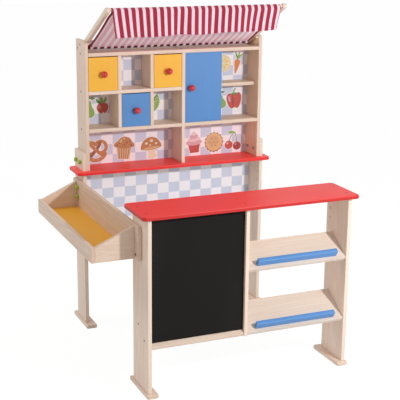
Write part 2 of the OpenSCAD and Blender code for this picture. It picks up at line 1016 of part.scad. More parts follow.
module awning_cloth() {
    rows = len(cloth_lines);
    stride = cloth_cols + 1;
    back = rows * stride;
    points = [for (side = [1, -1], i = [0 : rows - 1], j = [0 : cloth_cols])
        cloth_point(i, j, side)];
    faces = concat(
        [for (i = [0 : rows - 2], j = [0 : cloth_cols - 1])
            let (a = i * stride + j)
            each two_faces(a, a + 1, a + stride + 1, a + stride)],
        [for (i = [0 : rows - 2], j = [0 : cloth_cols - 1])
            let (a = back + i * stride + j)
            each two_faces(a, a + stride, a + stride + 1, a + 1)],
        [for (j = [0 : cloth_cols - 1])
            each two_faces(j, back + j, back + j + 1, j + 1)],
        [for (j = [0 : cloth_cols - 1])
            let (a = (rows - 1) * stride + j)
            each two_faces(a, a + 1, back + a + 1, back + a)],
        [for (i = [0 : rows - 2])
            let (a = i * stride)
            each two_faces(a, a + stride, back + a + stride, back + a)],
        [for (i = [0 : rows - 2])
            let (a = i * stride + cloth_cols)
            each two_faces(a, back + a, back + a + stride, a + stride)]);
    color(cloth_red)
        placed()
            polyhedron(points, faces);
}

// Lobed thumb knob on a left-hand face at x, with its axis along -x
module thumb_knob(x, y, z) {
    translate([x, y, z])
        rotate([0, -90, 0])
            difference() {
                union() {
                    cylinder(d = thumb_collar_d, h = thumb_collar_h + overrun);
                    intersection() {
                        translate([0, 0, thumb_collar_h])
                            cylinder(d = thumb_d, h = thumb_h - thumb_collar_h);
                        translate([0, 0, thumb_h - thumb_dome_r])
                            sphere(r = thumb_dome_r);
                    }
                }
                for (lobe = [0 : thumb_lobes - 1])
                    rotate(360 * lobe / thumb_lobes)
                        translate([thumb_d / 2 + thumb_groove_d / 5, 0, 0])
                            cylinder(d = thumb_groove_d, h = thumb_h + overrun);
                translate([0, 0, -overrun])
                    cylinder(d = bolt_d + 2 * peg_play, h = thumb_bore_l + overrun + slot_gap);
            }
}

// Bolt of a thumb knob, through two boards and the nut behind them
module knob_bolt(x, y, z) {
    translate([x - thumb_bore_l, y, z])
        rotate([0, 90, 0])
            cylinder(d = bolt_d, h = thumb_bore_l + bolt_grip + nut_t);
}

module knob_nut(x, y, z) {
    translate([x + bolt_grip, y, z])
        rotate([0, 90, 0])
            difference() {
                cylinder(d = nut_d, h = nut_t);
                translate([0, 0, -overrun])
                    cylinder(d = bolt_d + 2 * peg_play, h = nut_t + 2 * overrun);
            }
}

module cabinet_thumb_knobs() {
    color(green)
        placed()
            both_sides()
                for (y = cabinet_bolt_ys)
                    thumb_knob(0, y, cabinet_bolt_h);
}

module tray_thumb_knobs() {
    color(green)
        placed()
            for (y = tray_bolt_ys, z = tray_bolt_zs)
                thumb_knob(tray_in, y, z);
}

module knob_bolts() {
    color(steel)
        placed() {
            both_sides()
                for (y = cabinet_bolt_ys)
                    knob_bolt(0, y, cabinet_bolt_h);
            for (y = tray_bolt_ys, z = tray_bolt_zs)
                knob_bolt(tray_in, y, z);
        }
}

module knob_nuts() {
    color(steel)
        placed() {
            both_sides()
                for (y = cabinet_bolt_ys)
                    knob_nut(0, y, cabinet_bolt_h);
            for (y = tray_bolt_ys, z = tray_bolt_zs)
                knob_nut(tray_in, y, z);
        }
}

counter_top();
counter_left_panel();
counter_right_panel();
counter_divider();
blackboard();
counter_trough_board();
upper_slanted_shelf();
lower_slanted_shelf();
shelf_lips();
counter_left_foot();
counter_right_foot();
rear_left_post();
rear_right_post();
rear_left_foot();
rear_right_foot();
rear_shelf();
lower_back_panel();
cabinet_left_side();
cabinet_right_side();
cabinet_top_board();
main_divider();
short_dividers();
mid_shelf();
lower_shelf_left();
lower_shelf_right();
door_shelf();
upper_back_panel();
sliding_door();
door_knob();
drawer_front(drawer_a, yellow);  // drawer_a_front
drawer_walls(drawer_a);  // drawer_a_walls
drawer_bottom(drawer_a);  // drawer_a_bottom
drawer_knob(drawer_a);  // drawer_a_knob
drawer_front(drawer_b, blue);  // drawer_b_front
drawer_walls(drawer_b);  // drawer_b_walls
drawer_bottom(drawer_b);  // drawer_b_bottom
drawer_knob(drawer_b);  // drawer_b_knob
drawer_front(drawer_c, yellow);  // drawer_c_front
drawer_walls(drawer_c);  // drawer_c_walls
drawer_bottom(drawer_c);  // drawer_c_bottom
drawer_knob(drawer_c);  // drawer_c_knob
tray_inner_wall();
tray_front_end();
tray_rear_end();
tray_outer_lip();
tray_bottom();
awning_left_arm();
awning_right_arm();
awning_front_rod();
awning_rear_rod();
awning_cloth();
arm_pegs();
cabinet_thumb_knobs();
tray_thumb_knobs();
knob_bolts();
knob_nuts();
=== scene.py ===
import json
import math

import bmesh
import bpy
from mathutils import Matrix, Vector
from mathutils.geometry import delaunay_2d_cdt


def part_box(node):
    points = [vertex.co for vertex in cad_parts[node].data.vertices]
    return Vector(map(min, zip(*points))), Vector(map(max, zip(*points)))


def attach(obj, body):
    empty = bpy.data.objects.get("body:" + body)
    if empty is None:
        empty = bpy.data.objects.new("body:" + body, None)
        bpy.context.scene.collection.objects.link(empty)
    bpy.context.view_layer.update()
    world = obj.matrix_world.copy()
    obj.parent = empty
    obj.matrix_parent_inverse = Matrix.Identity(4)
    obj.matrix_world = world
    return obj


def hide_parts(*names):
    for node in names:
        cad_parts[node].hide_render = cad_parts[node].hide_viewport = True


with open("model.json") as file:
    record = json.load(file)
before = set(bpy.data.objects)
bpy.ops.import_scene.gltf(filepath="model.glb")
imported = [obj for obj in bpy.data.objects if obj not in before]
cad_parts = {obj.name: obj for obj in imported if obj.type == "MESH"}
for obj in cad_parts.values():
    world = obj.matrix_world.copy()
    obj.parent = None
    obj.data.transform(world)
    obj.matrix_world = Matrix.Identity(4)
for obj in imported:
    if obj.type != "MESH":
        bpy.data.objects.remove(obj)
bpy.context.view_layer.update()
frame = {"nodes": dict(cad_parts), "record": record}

record = frame["record"]
slotOf = {part["node"]: part["material_slot"] for part in record["subparts"]}
bodyOf = {node: body for body, nodes in record["behaviour"]["bodies"].items() for node in nodes}

# the drawings' zero is the left outer face and the front of the counter's panels
drawing = {"midX": 0.2945, "midY": 0.3915}
mm = 0.001


def at(x, y, z):
    return Vector((x * mm - drawing["midX"], y * mm - drawing["midY"], z * mm))


def paint(code):  # a screen colour, #rrggbb, as a linear colour
    shares = [int(code[i:i + 2], 16) / 255 for i in (1, 3, 5)]
    return tuple(c / 12.92 if c <= 0.04045 else ((c + 0.055) / 1.055) ** 2.4 for c in shares)


# node helpers; the bench holds the node tree in the making
bench = {}


def startTree(owner):
    owner.use_nodes = True
    bench["tree"] = owner.node_tree
    bench["tree"].nodes.clear()


def feed(socket, value):
    if isinstance(value, bpy.types.NodeSocket):
        bench["tree"].links.new(value, socket)
    elif socket.type == "RGBA":
        socket.default_value = (*(paint(value) if isinstance(value, str) else value), 1)
    else:
        socket.default_value = value


def put(kind, inputs=None, **settings):  # a new node's outputs; a short kind is a shader node
    node = bench["tree"].nodes.new(kind if "Node" in kind else "ShaderNode" + kind)
    for key, value in settings.items():
        setattr(node, key, value)
    for key, value in (inputs or {}).items():
        for one in value if isinstance(value, list) else [value]:
            feed(node.inputs[key], one)
    return node.outputs


def newFinish(name):
    mat = bpy.data.materials.new(name)
    startTree(mat)
    return mat


def coat(mat, look, colour, rough, height):
    strength, distance = look["bump"]
    relief = put("Bump", {"Height": height, "Strength": strength, "Distance": distance})
    shader = put("BsdfPrincipled", {
        "Base Color": colour, "Roughness": rough, "Normal": relief["Normal"],
        "Specular IOR Level": look.get("shine", 0.5), **look.get("inputs", {})})
    put("OutputMaterial", {"Surface": shader["BSDF"]})
    return mat


def blendColour(share, first, second, mode="MIX"):
    return put("Mix", {0: share, 6: first, 7: second}, data_type="RGBA", blend_type=mode)[2]


def sums(start, *pairs):  # start + socket * weight + ...
    total = start
    for socket, weight in pairs:
        total = put("Math", {0: socket, 1: weight, 2: total}, operation="MULTIPLY_ADD")[0]
    return total


def maths(operation, *values):
    return put("Math", dict(enumerate(values)), operation=operation)[0]


def between(value, low, high):  # 0 below low, 1 above high, smooth between
    return put("MapRange", {"Value": value, "From Min": low, "From Max": high},
               interpolation_type="SMOOTHSTEP")["Result"]


def noise(vector, scale, detail=2.0, shift=(0, 0, 0)):  # one scale, or one per axis
    even, stretch = (1.0, scale) if isinstance(scale, tuple) else (scale, (1, 1, 1))
    mapped = put("Mapping", {"Vector": vector, "Scale": stretch, "Location": shift})[0]
    return put("TexNoise", {"Vector": mapped, "Scale": even, "Detail": detail})["Fac"]


def noises(vector, table):
    return [noise(vector, *row) for row in table]


def attribute(name, output="Fac"):
    return put("Attribute", attribute_name=name)[output]


def objectPlace():
    return put("TexCoord")["Object"]


# finishes: each look has its colours, its noises as scale, detail and shift, and their shares

def paleWood(name, look):
    mat = newFinish(name)
    grain = attribute("grain", "Vector")
    broad, fibre, streak, specks = noises(grain, look["noises"])
    rings = maths("SINE", maths("MULTIPLY", broad, look["rings"]))
    fleck = between(specks, *look["fleckFrom"])
    tones = [(attribute(tone), share) for tone, share in look["tones"].items()]
    depth = sums(0.0, *zip((rings, fibre, streak, fleck), look["shares"]), *tones)
    colour = blendColour(depth, look["light"], look["dark"])
    # a lighter, warmer copy of the wood for the faces marked inside: painted bounce light
    inside = blendColour(depth, look["insideLight"], look["insideDark"])
    return coat(mat, look, blendColour(attribute("inside"), colour, inside),
                sums(look["rough"], *zip((fibre, rings), look["roughShares"])),
                sums(0.0, *zip((fibre, fleck, rings), look["relief"])))


def satinPaint(name, look):
    mat = newFinish(name)
    cloudy, peel = noises(objectPlace(), look["noises"])
    fibre = noise(attribute("grain", "Vector"), *look["fibre"])
    share = sums(look["start"], *zip((cloudy, fibre, attribute("edge")), look["shares"]))
    colour = blendColour(share, look["colour"], look["worn"])
    # bare wood below, and the rim red, a darker red on the sides and edges: painted shade
    for mark in ("bare", "rim"):
        if mark in look:
            colour = blendColour(attribute(mark), colour, look[mark])
    return coat(mat, look, colour,
                sums(look["rough"], *zip((cloudy, peel), look["roughShares"])),
                sums(0.0, *zip((peel, fibre), look["relief"])))


def mattSlate(look):
    mat = newFinish("mattSlate")
    wiped, strokes, tooth = noises(objectPlace(), look["noises"])
    dust = maths("MULTIPLY", between(wiped, *look["wipedFrom"]), strokes)
    share = sums(0.0, *zip((dust, tooth, attribute("edge")), look["shares"]))
    return coat(mat, look, blendColour(share, look["colour"], look["chalk"]),
                sums(look["rough"], (tooth, look["toothRough"])), tooth)


def printedChecks(name, look):
    mat = newFinish(name)
    place = objectPlace()
    squares = put("Mapping", {
        "Vector": place, "Location": look["shift"],
        "Scale": (1 / look["wide"], 0, 1 / look["tall"])})[0]
    check = put("TexChecker", {
        "Vector": squares, "Scale": 1.0, "Color1": look["blue"], "Color2": look["white"]})
    cloudy, dots = noises(place, look["noises"])
    shaded = blendColour(sums(0.0, (cloudy, look["inkCloud"])), attribute("ink", "Color"),
                         look["inkShade"], "MULTIPLY")
    printed = blendColour(attribute("inked"), check["Color"], shaded)
    worn = blendColour(sums(0.0, *zip((dots, cloudy), look["wornShares"])), printed, look["paper"])
    return coat(mat, look, blendColour(attribute("raw"), worn, look["raw"]),
                sums(look["rough"], (dots, look["dotRough"])), dots)


def stripedCotton(look):
    mat = newFinish("stripedCotton")
    weave = put("UVMap", uv_map="weave")["UV"]
    across, along = put("SeparateXYZ", {0: weave})[:2]
    wobble, slub, cloudy = noises(weave, look["noises"])
    shifted = sums(look["phase"], (across, 1.0), (wobble, look["wobble"]))
    turn = maths("PINGPONG", shifted, look["period"] / 2)
    red = between(turn, look["half"] + look["soft"], look["half"] - look["soft"])
    warp, weft = (maths("SINE", maths("MULTIPLY", way, look["thread"])) for way in (across, along))
    thread = maths("MULTIPLY", warp, weft)
    # the rear tunnel's red stripes darker: painted shade
    redWithTunnelShade = blendColour(attribute("fold"), look["red"], look["foldRed"])
    outer = blendColour(red, look["white"], redWithTunnelShade)
    # the underside's pale colours: the cloth's faded reverse, made lighter as painted light shining
    # through
    under = blendColour(red, look["underWhite"], look["underRed"])
    faced = blendColour(attribute("under"), outer, under)
    # the hems take the outer face's red, darkened: partly the cloth's own red, partly painted shade
    hemmed = blendColour(attribute("hem"), faced, look["hemRed"])
    share = sums(0.0, *zip((slub, cloudy, thread), look["shares"]))
    return coat(mat, look, blendColour(share, hemmed, look["shade"], "MULTIPLY"),
                look["rough"], sums(0.0, *zip((thread, slub), look["relief"])))


def fineFinish(name, look):  # for small pieces of lacquer, plastic, metal and thread
    mat = newFinish(name)
    cloudy, grit = noises(objectPlace(), look["noises"])
    return coat(mat, look, blendColour(cloudy, look["colour"], look["deep"]),
                sums(look["rough"], (grit, look["gritRough"])), grit)


# the second pair of wood colours is lighter and warmer: painted bounce light, used on one wall
# inside the cabinet
woodLook = {
    "light": "#f0dbca", "dark": "#c6a588", "insideLight": "#ffe4c8", "insideDark": "#e8bc96",
    "rings": 62.0, "fleckFrom": (0.66, 0.74),
    "noises": (((1.1, 17, 17), 2.5), ((16, 620, 620), 3.0), ((4, 110, 110), 2.0, (3, 1, 2)),
               ((90, 900, 900), 1.0)),
    "shares": (0.07, 0.19, 0.19, 0.22), "tones": {"tone": 0.12, "endGrain": 0.18, "edge": 0.06},
    "rough": 0.44, "roughShares": (0.14, 0.03), "shine": 0.35, "relief": (1.0, -0.6, 0.15),
    "bump": (0.16, 0.0004)}
paintLook = {
    "noises": ((7.0, 3.0), (1300.0, 1.0)), "fibre": ((9, 420, 420), 2.0), "start": -0.1,
    "shares": (0.12, 0.24, 0.14), "rough": 0.36, "roughShares": (0.1, 0.06), "shine": 0.42,
    "relief": (0.5, 0.9), "bump": (0.12, 0.0003)}
# the rim red is darker: painted shade on the boards' sides and front edges
redLook = dict(paintLook, colour="#ee2824", worn="#f65c54", bare="#e2c6ac", rim="#c51f1c",
               shares=(0.12, 0.2, 0.1), bump=(0.1, 0.0003), shine=0.45)
# the rear shelf's top is a lighter red, painted light and sheen; its sides keep the plain red
shelfRedPaintedLightLook = dict(redLook, colour="#ff4842", worn="#ff7870", rim=redLook["colour"])
yellowLook = dict(paintLook, colour="#f6b82a", worn="#fcd276")
trayLook = dict(paintLook, colour="#f6b22c", worn="#f8ca6e")
blueLook = dict(paintLook, colour="#508aca", worn="#8cb6e2")
slateLook = {
    "colour": "#181515", "chalk": "#787674", "wipedFrom": (0.42, 0.78),
    "noises": (((5, 5, 1.6), 4.0), ((26, 26, 150), 3.0, (1, 2, 0)), (1700.0, 1.0)),
    "shares": (0.07, 0.04, 0.1), "rough": 0.8, "toothRough": 0.14, "shine": 0.12,
    "bump": (0.2, 0.0002)}
checkLook = {
    "wide": 0.04445, "tall": 0.0389, "shift": (1.351, 0.5, -0.116), "blue": "#ccd2e8",
    "white": "#f6f2f8", "inkShade": "#96826e", "paper": "#faf8f6", "raw": "#d6c2a8",
    "noises": ((40.0, 3.0), (900.0, 1.0)), "inkCloud": 0.22, "wornShares": (0.08, 0.05),
    "rough": 0.42, "dotRough": 0.12, "shine": 0.3, "bump": (0.05, 0.0002)}
# the underside colours are the faded reverse made lighter, painted light shining through; the hem
# red is the outer face's red darkened as painted shade, and the tunnel red is painted shade
cottonLook = {
    "phase": 0.0018, "period": 0.0254, "half": 0.0073, "soft": 0.0005, "wobble": 0.0012,
    "thread": 5200.0, "white": "#fbdeea", "red": "#ac3048", "underWhite": "#fff0f6",
    "underRed": "#f2c4d2", "hemRed": "#8a142a", "foldRed": "#6a0a1e", "shade": "#d2c4c8",
    "noises": (((40, 14, 1), 2.0), ((900, 60, 1), 2.0), ((18, 18, 1), 3.0)),
    "shares": (0.12, 0.10, 0.05), "rough": 0.9, "shine": 0.15, "relief": (0.5, 0.5),
    "bump": (0.3, 0.0003),
    "inputs": {"Sheen Weight": 0.15, "Sheen Roughness": 0.5, "Subsurface Weight": 0.6,
               "Subsurface Radius": (0.0030, 0.0022, 0.0026), "Subsurface Scale": 1.0}}
knobLook = {
    "colour": "#de242c", "deep": "#c41822", "noises": ((60.0,), (1500.0, 1.0)), "rough": 0.2,
    "gritRough": 0.05, "bump": (0.08, 0.0002),
    "inputs": {"Coat Weight": 0.5, "Coat Roughness": 0.08}}
greenLook = {
    "colour": "#b0d434", "deep": "#92b822", "noises": ((90.0,), (2600.0, 1.0)),
    "rough": 0.34, "gritRough": 0.16, "bump": (0.12, 0.0002)}
steelLook = {
    "colour": "#c4c6c8", "deep": "#96989c", "rough": 0.28, "gritRough": 0.2,
    "noises": ((320.0, 3.0), ((400, 4000, 4000), 2.0)), "bump": (0.1, 0.0001),
    "inputs": {"Metallic": 1.0}}
threadLook = {
    "colour": "#c88896", "deep": "#a66070", "noises": ((2500.0, 1.0),) * 2,
    "rough": 0.8, "gritRough": 0.0, "bump": (0.4, 0.0002)}

wood = paleWood("paleWood", woodLook)
# the slanted shelves' paler, greyer wood is painted light, for the strong key light on them
shelfWood = paleWood("shelfWood", dict(woodLook, light="#e4d5c8", dark="#bea38b"))
finishOf = {
    "wood": wood,
    "red_paint": satinPaint("satinRed", redLook),
    "yellow_paint": satinPaint("satinYellow", yellowLook),
    "blue_paint": satinPaint("satinBlue", blueLook),
    "red_knob": fineFinish("glossRedKnob", knobLook),
    "chalkboard": mattSlate(slateLook),
    "printed_panel": printedChecks("printedChecks", checkLook),
    "awning_fabric": stripedCotton(cottonLook),
    "green_plastic": fineFinish("mouldedGreen", greenLook),
    "steel": fineFinish("platedSteel", steelLook),
}
finishOfNode = {
    "tray_bottom": satinPaint("satinTrayYellow", trayLook),
    # the rear shelf's lighter red and the slanted shelves' paler wood are painted light
    "rear_shelf": satinPaint("satinShelfRed", shelfRedPaintedLightLook),
    "upper_slanted_shelf": shelfWood, "lower_slanted_shelf": shelfWood,
    "lower_back_panel": printedChecks("printedLowerChecks",
                                      dict(checkLook, shift=(1.351, 0.5, 0.147)))}
darkSteel = fineFinish("darkSteel", dict(steelLook, colour="#62564c", deep="#423a34", rough=0.4))
plugRed = satinPaint("satinPlugRed", dict(redLook, colour="#bc1e1e"))
thread = fineFinish("stitchThread", threadLook)
print("finishes made, for slots:", len(finishOf), "for nodes:", len(finishOfNode))


# pieces

def pieceName(node):
    first, *rest = node.split("_")
    return first + "".join(word.capitalize() for word in rest)


def meshFrom(name, bm):
    mesh = bpy.data.meshes.new(name)
    bm.to_mesh(mesh)
    bm.free()
    return mesh


def linked(name, data):
    obj = bpy.data.objects.new(name, data)
    bpy.context.scene.collection.objects.link(obj)
    return obj


def newPiece(node, bm, smooth=True):  # the dressed piece that stands for a node
    name, body, slot, nodes = pieceName(node), bodyOf[node], slotOf[node], [node]
    mesh = meshFrom(name, bm)
    mesh.materials.append(finishOfNode.get(node, finishOf[slot]))
    for face in mesh.polygons:
        face.use_smooth = smooth
    obj = linked(name, mesh)
    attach(obj, body)
    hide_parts(*nodes)
    return obj


def islands(bm):
    seen, groups = set(), []
    for vert in bm.verts:
        if vert not in seen:
            seen.add(vert)
            groups.append([vert])
            for one in groups[-1]:  # the list grows while it is walked
                fresh = {edge.other_vert(one) for edge in one.link_edges} - seen
                seen |= fresh
                groups[-1] += fresh
    return groups


# boards: the width of their rounds, and how the grain's tone and place change from board to board
feet = [node for node in slotOf if node.endswith("_foot")]
drawerFronts = [node for node in slotOf if node.startswith("drawer_") and node.endswith("_front")]
board = {
    "round": {"wood": 0.0011, "red_paint": 0.0013, "yellow_paint": 0.0014, "blue_paint": 0.0014,
              "chalkboard": 0.0005},
    "roundOf": {"awning_front_rod": 0.0012, "awning_rear_rod": 0.0012, "shelf_lips": 0.002,
                "sliding_door": 0.001, "tray_inner_wall": 0.002, **dict.fromkeys(feet, 0.0007),
                **dict.fromkeys(drawerFronts, 0.0009)},
    "segments": 2, "sharp": math.radians(30), "flat": math.radians(0.6), "merge": 3e-6,
    "armRise": math.radians(28.5), "facing": 0.9, "endFrom": 0.8, "rimTo": 0.6,
    # fixed tones: the tray's front end darker, painted shade; the slanted shelves paler, painted
    # light; the tray's inner wall and lip darker
    "tone": {"upper_slanted_shelf": -0.6, "lower_slanted_shelf": -0.6, "tray_front_end": 2.0,
             "tray_inner_wall": 2.2, "tray_outer_lip": 1.8},
    "toneStep": 4.37, "shiftSteps": (12.9, 78.2, 37.7), "shifts": (3, 2, 2), "islandStep": 7,
    # the cabinet wall whose inner face gets the painted bounce light
    "paleEnds": "tray_inner_wall", "warmInside": "cabinet_right_side"}


def grainAxis(node, group):
    if node.startswith("awning_") and node.endswith("_arm"):
        rise = board["armRise"]
        return Vector((0, -math.cos(rise), math.sin(rise)))
    spans = [max(v.co[i] for v in group) - min(v.co[i] for v in group) for i in range(3)]
    axis = Vector((0, 0, 0))
    axis[spans.index(max(spans))] = 1
    return axis


def boardShape(node, width):
    bm = bmesh.new()
    bm.from_mesh(frame["nodes"][node].data)
    bmesh.ops.remove_doubles(bm, verts=bm.verts, dist=board["merge"])
    bmesh.ops.dissolve_limit(bm, angle_limit=board["flat"], verts=bm.verts, edges=bm.edges)
    edge = bm.faces.layers.float.new("edge")
    sharp = [e for e in bm.edges if len(e.link_faces) == 2 and e.calc_face_angle() > board["sharp"]]
    made = bmesh.ops.bevel(bm, geom=sharp, offset=width, segments=board["segments"],
                           profile=0.5, affect="EDGES", clamp_overlap=False)
    for face in made["faces"]:
        face[edge] = 1.0
    bmesh.ops.dissolve_degenerate(bm, dist=1e-6, edges=bm.edges)
    return bm


def markFaces(bm, name, test):
    layer = bm.faces.layers.float.new(name)
    for face in bm.faces:
        face[layer] = float(test(face))


def layGrain(bm, node, seed):
    grain = bm.verts.layers.float_vector.new("grain")
    tone = bm.verts.layers.float.new("tone")
    endGrain = bm.faces.layers.float.new("endGrain")
    for count, group in enumerate(islands(bm)):
        axis = grainAxis(node, group)
        side = axis.orthogonal().normalized()
        up = axis.cross(side)
        number = seed * board["islandStep"] + count
        shift = Vector([turn(number * step) * by for turn, step, by in zip(
            (math.sin, math.sin, math.cos), board["shiftSteps"], board["shifts"])])
        for vert in group:
            vert[grain] = Vector((vert.co.dot(axis), vert.co.dot(side), vert.co.dot(up))) + shift
            vert[tone] = board["tone"].get(node, math.sin(number * board["toneStep"]))
            for face in vert.link_faces:
                atEnd = abs(face.normal.dot(axis)) > board["endFrom"]
                face[endGrain] = float(atEnd and node != board["paleEnds"])


def weightNormals(obj):
    even = obj.modifiers.new("evenShading", "WEIGHTED_NORMAL")
    even.keep_sharp = False
    even.weight = 80


boardNodes = [node for node, slot in slotOf.items() if slot in board["round"]]
facing = board["facing"]
for seed, node in enumerate(boardNodes):
    bm = boardShape(node, board["roundOf"].get(node, board["round"][slotOf[node]]))
    layGrain(bm, node, seed + 1)
    # the right side's inner face takes the lighter, warmer wood: painted bounce light
    if node == board["warmInside"]:
        markFaces(bm, "inside", lambda face: face.normal.x < -facing)
    if slotOf[node] == "red_paint":  # bare below, and a darker red on the sides and edges: painted shade
        markFaces(bm, "bare", lambda face: face.normal.z < -facing)
        markFaces(bm, "rim", lambda face: abs(face.normal.z) < board["rimTo"])
    weightNormals(newPiece(node, bm))
print("boards rounded and grained:", len(boardNodes))


# turned and moulded pieces

def polar(radius, angle):
    return radius * math.cos(math.radians(angle)), radius * math.sin(math.radians(angle))


def arc(cx, cz, radius, start, end, steps):
    turns = [polar(radius, start + (end - start) * i / steps) for i in range(steps + 1)]
    return [(cx + x, cz + z) for x, z in turns]


def lathe(bm, profile, origin, axis, count, lobes=lambda angle, radius: 1):
    side = axis.orthogonal().normalized()
    up = axis.cross(side)
    rows = []
    for radius, height in profile:
        centre = origin + axis * height
        if radius < 1e-7:
            rows.append([bm.verts.new(centre)])
            continue
        row = []
        for i in range(count):
            angle = 2 * math.pi * i / count
            way = math.cos(angle) * side + math.sin(angle) * up
            row.append(bm.verts.new(centre + radius * lobes(angle, radius) * way))
        rows.append(row)
    for low, high in zip(rows, rows[1:]):
        for i in range(count):
            j = (i + 1) % count
            corners = [low[i % len(low)], low[j % len(low)], high[j % len(high)],
                       high[i % len(high)]]
            bm.faces.new(list(dict.fromkeys(corners)))


def closeUp(bm):
    bmesh.ops.remove_doubles(bm, verts=bm.verts, dist=1e-7)
    bmesh.ops.recalc_face_normals(bm, faces=bm.faces)


# turned ball knobs, each on a stem that goes into the board
ballKnob = {"radius": 0.012, "neck": 0.006, "face": 0.0250, "stem": 0.0029, "slack": 0.0004,
            "turns": 56, "slices": 30}
knobNodes = [node for node, slot in slotOf.items() if slot == "red_knob"]
for node in knobNodes:
    low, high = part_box(node)
    middle = (low + high) / 2
    radius, neck, face, stem, slack, turns, slices = ballKnob.values()
    reach = high.y - low.y - slack
    last = math.pi - math.asin(neck / radius)
    profile = [(radius * math.sin(last * i / slices), radius - radius * math.cos(last * i / slices))
               for i in range(slices + 1)]
    profile += [(neck, face), (stem, face), (stem, reach), (0.0, reach)]
    bm = bmesh.new()
    lathe(bm, profile, Vector((middle.x, low.y, middle.z)), Vector((0, 1, 0)), turns)
    closeUp(bm)
    weightNormals(newPiece(node, bm))
print("ball knobs turned:", len(knobNodes))

# lobed thumb knobs on their bolts, with nuts behind the boards; the crown is share and drop
thumb = {
    "radius": 0.008, "height": 0.011, "collar": 0.0056, "top": 0.0022, "ease": 0.0004,
    "collarEase": 0.0003, "rim": 0.0012, "shoulder": 0.0018, "drop": 0.0033, "lobes": 7,
    "lobeDepth": 0.11, "lobePower": 1.6, "lobesFrom": 1.05, "turns": 84,
    "crown": ((0.72, 0.0008), (0.5, 0.0003), (0.25, 0.00005), (0.0, 0.0))}
boltPlaces = {
    "cabinet_thumb_knobs": [(x, y, 624, s) for x, s in ((0, -1), (720, 1)) for y in (690, 740)],
    "tray_thumb_knobs": [(-13, y, z, -1) for y in (115, 687) for z in (498, 532)]}


def thumbLobes(angle, radius):
    if radius < thumb["collar"] * thumb["lobesFrom"]:
        return 1.0
    wave = 0.5 + 0.5 * math.cos(thumb["lobes"] * angle)
    return 1 - thumb["lobeDepth"] * wave ** thumb["lobePower"]


def thumbProfile(radius, height, collar, top, ease, collarEase, rim, shoulder, drop, crown, **_):
    return ([(0.0, 0.0), (collar - ease, 0.0), (collar, ease), (collar, top - collarEase),
             (collar + ease, top)]
            + arc(radius - rim, top + rim, rim, -90, 0, 4)
            + arc(radius - shoulder, height - drop, shoulder, 0, 70, 6)
            + [(radius * share, height - low) for share, low in crown])


for node, places in boltPlaces.items():
    bm = bmesh.new()
    for x, y, z, way in places:
        lathe(bm, thumbProfile(**thumb), at(x, y, z), Vector((way, 0, 0)), thumb["turns"],
              thumbLobes)
    closeUp(bm)
    newPiece(node, bm)

nut = {"radius": 0.006, "height": 0.005, "chamfer": 0.0008, "ease": 0.0002, "bore": 0.0032,
       "mouth": 0.0036, "sides": 6, "grip": 26}
bolt = {"ridges": 9, "pitch": 0.00062, "start": -0.0005, "rise": 0.0003, "root": 0.0028,
        "crest": 0.0030, "tip": 0.0026, "shank": 0.0029, "far": -0.0255, "near": -0.0006,
        "turns": 20}
nuts, bolts = bmesh.new(), bmesh.new()
r, h, cut, ease, bore, mouth, sides, grip = nut.values()
ridges, pitch, start, rise, root, crest, tip, shank, far, near, turns = bolt.values()
nutRing = [(bore, 0.0), (r - ease, 0.0), (r, ease), (r, h - cut), (r - cut, h), (mouth, h),
           (bore, h - 2 * ease), (bore, 0.0)]
boltEnd = [(0.0, start)]
for low in (start + i * pitch for i in range(ridges)):
    boltEnd += [(root, low), (crest, low + rise)]
boltEnd += [(tip, h), (0.0, h)]
boltShank = [(0.0, far), (shank, far), (shank, near), (0.0, near)]
for x, y, z, way in sum(boltPlaces.values(), []):
    seat, back = at(x - way * grip, y, z), Vector((-way, 0, 0))
    lathe(nuts, nutRing, seat, back, sides)
    for profile in (boltEnd, boltShank):
        lathe(bolts, profile, seat, back, turns)
closeUp(nuts)
closeUp(bolts)
newPiece("knob_nuts", nuts, smooth=False)
newPiece("knob_bolts", bolts)
print("thumb knobs, bolts and nuts made:", len(sum(boltPlaces.values(), [])))


# printed panels: the pictures' outlines, in millimetres from each picture's middle

def oval(cx, cz, rx, rz, turn=0.0, count=40):
    c, s = polar(1, turn)
    level = [(rx * x, rz * z) for x, z in (polar(1, 360 * i / count) for i in range(count))]
    return [(cx + c * x - s * z, cz + s * x + c * z) for x, z in level]


def smooth(points, steps=6):  # closed curve through the points
    out, n = [], len(points)
    for i in range(n):
        a, b, c, d = (Vector(points[(i + k) % n]) for k in (-1, 0, 1, 2))
        for t in (k / steps for k in range(steps)):
            bend = 2 * a - 5 * b + 4 * c - d + t * (3 * (b - c) + d - a)
            out.append(b + 0.5 * t * (c - a + t * bend))
    return out


def even(half):  # closed curve through half an outline and its mirror image
    return smooth(half + [(-x, z) for x, z in reversed(half) if x])


def band(points, width):  # a line with thickness, drawn through open points
    points = [Vector(p) for p in points]
    left, right = [], []
    for a, p, b in zip(points[:1] + points, points, points[1:] + points[-1:]):
        across = (b - a).orthogonal().normalized() * width / 2
        left.append(p + across)
        right.append(p - across)
    return left + right[::-1]


inks = {
    "crust": "#c47c42", "crustDark": "#965428", "crumb": "#e8be82", "cream": "#f4e4c4",
    "salt": "#faf6ee", "pink": "#e2a8b8", "pinkLight": "#f2ced6", "red": "#cc4638",
    "redDark": "#a82c28", "orange": "#e88434", "orangeDark": "#ce6824", "yellow": "#f4d05c",
    "yellowLight": "#fae8a0", "green": "#88b248", "greenDark": "#548838", "tan": "#deb280",
    "brown": "#784a32", "white": "#f8f6f6"}


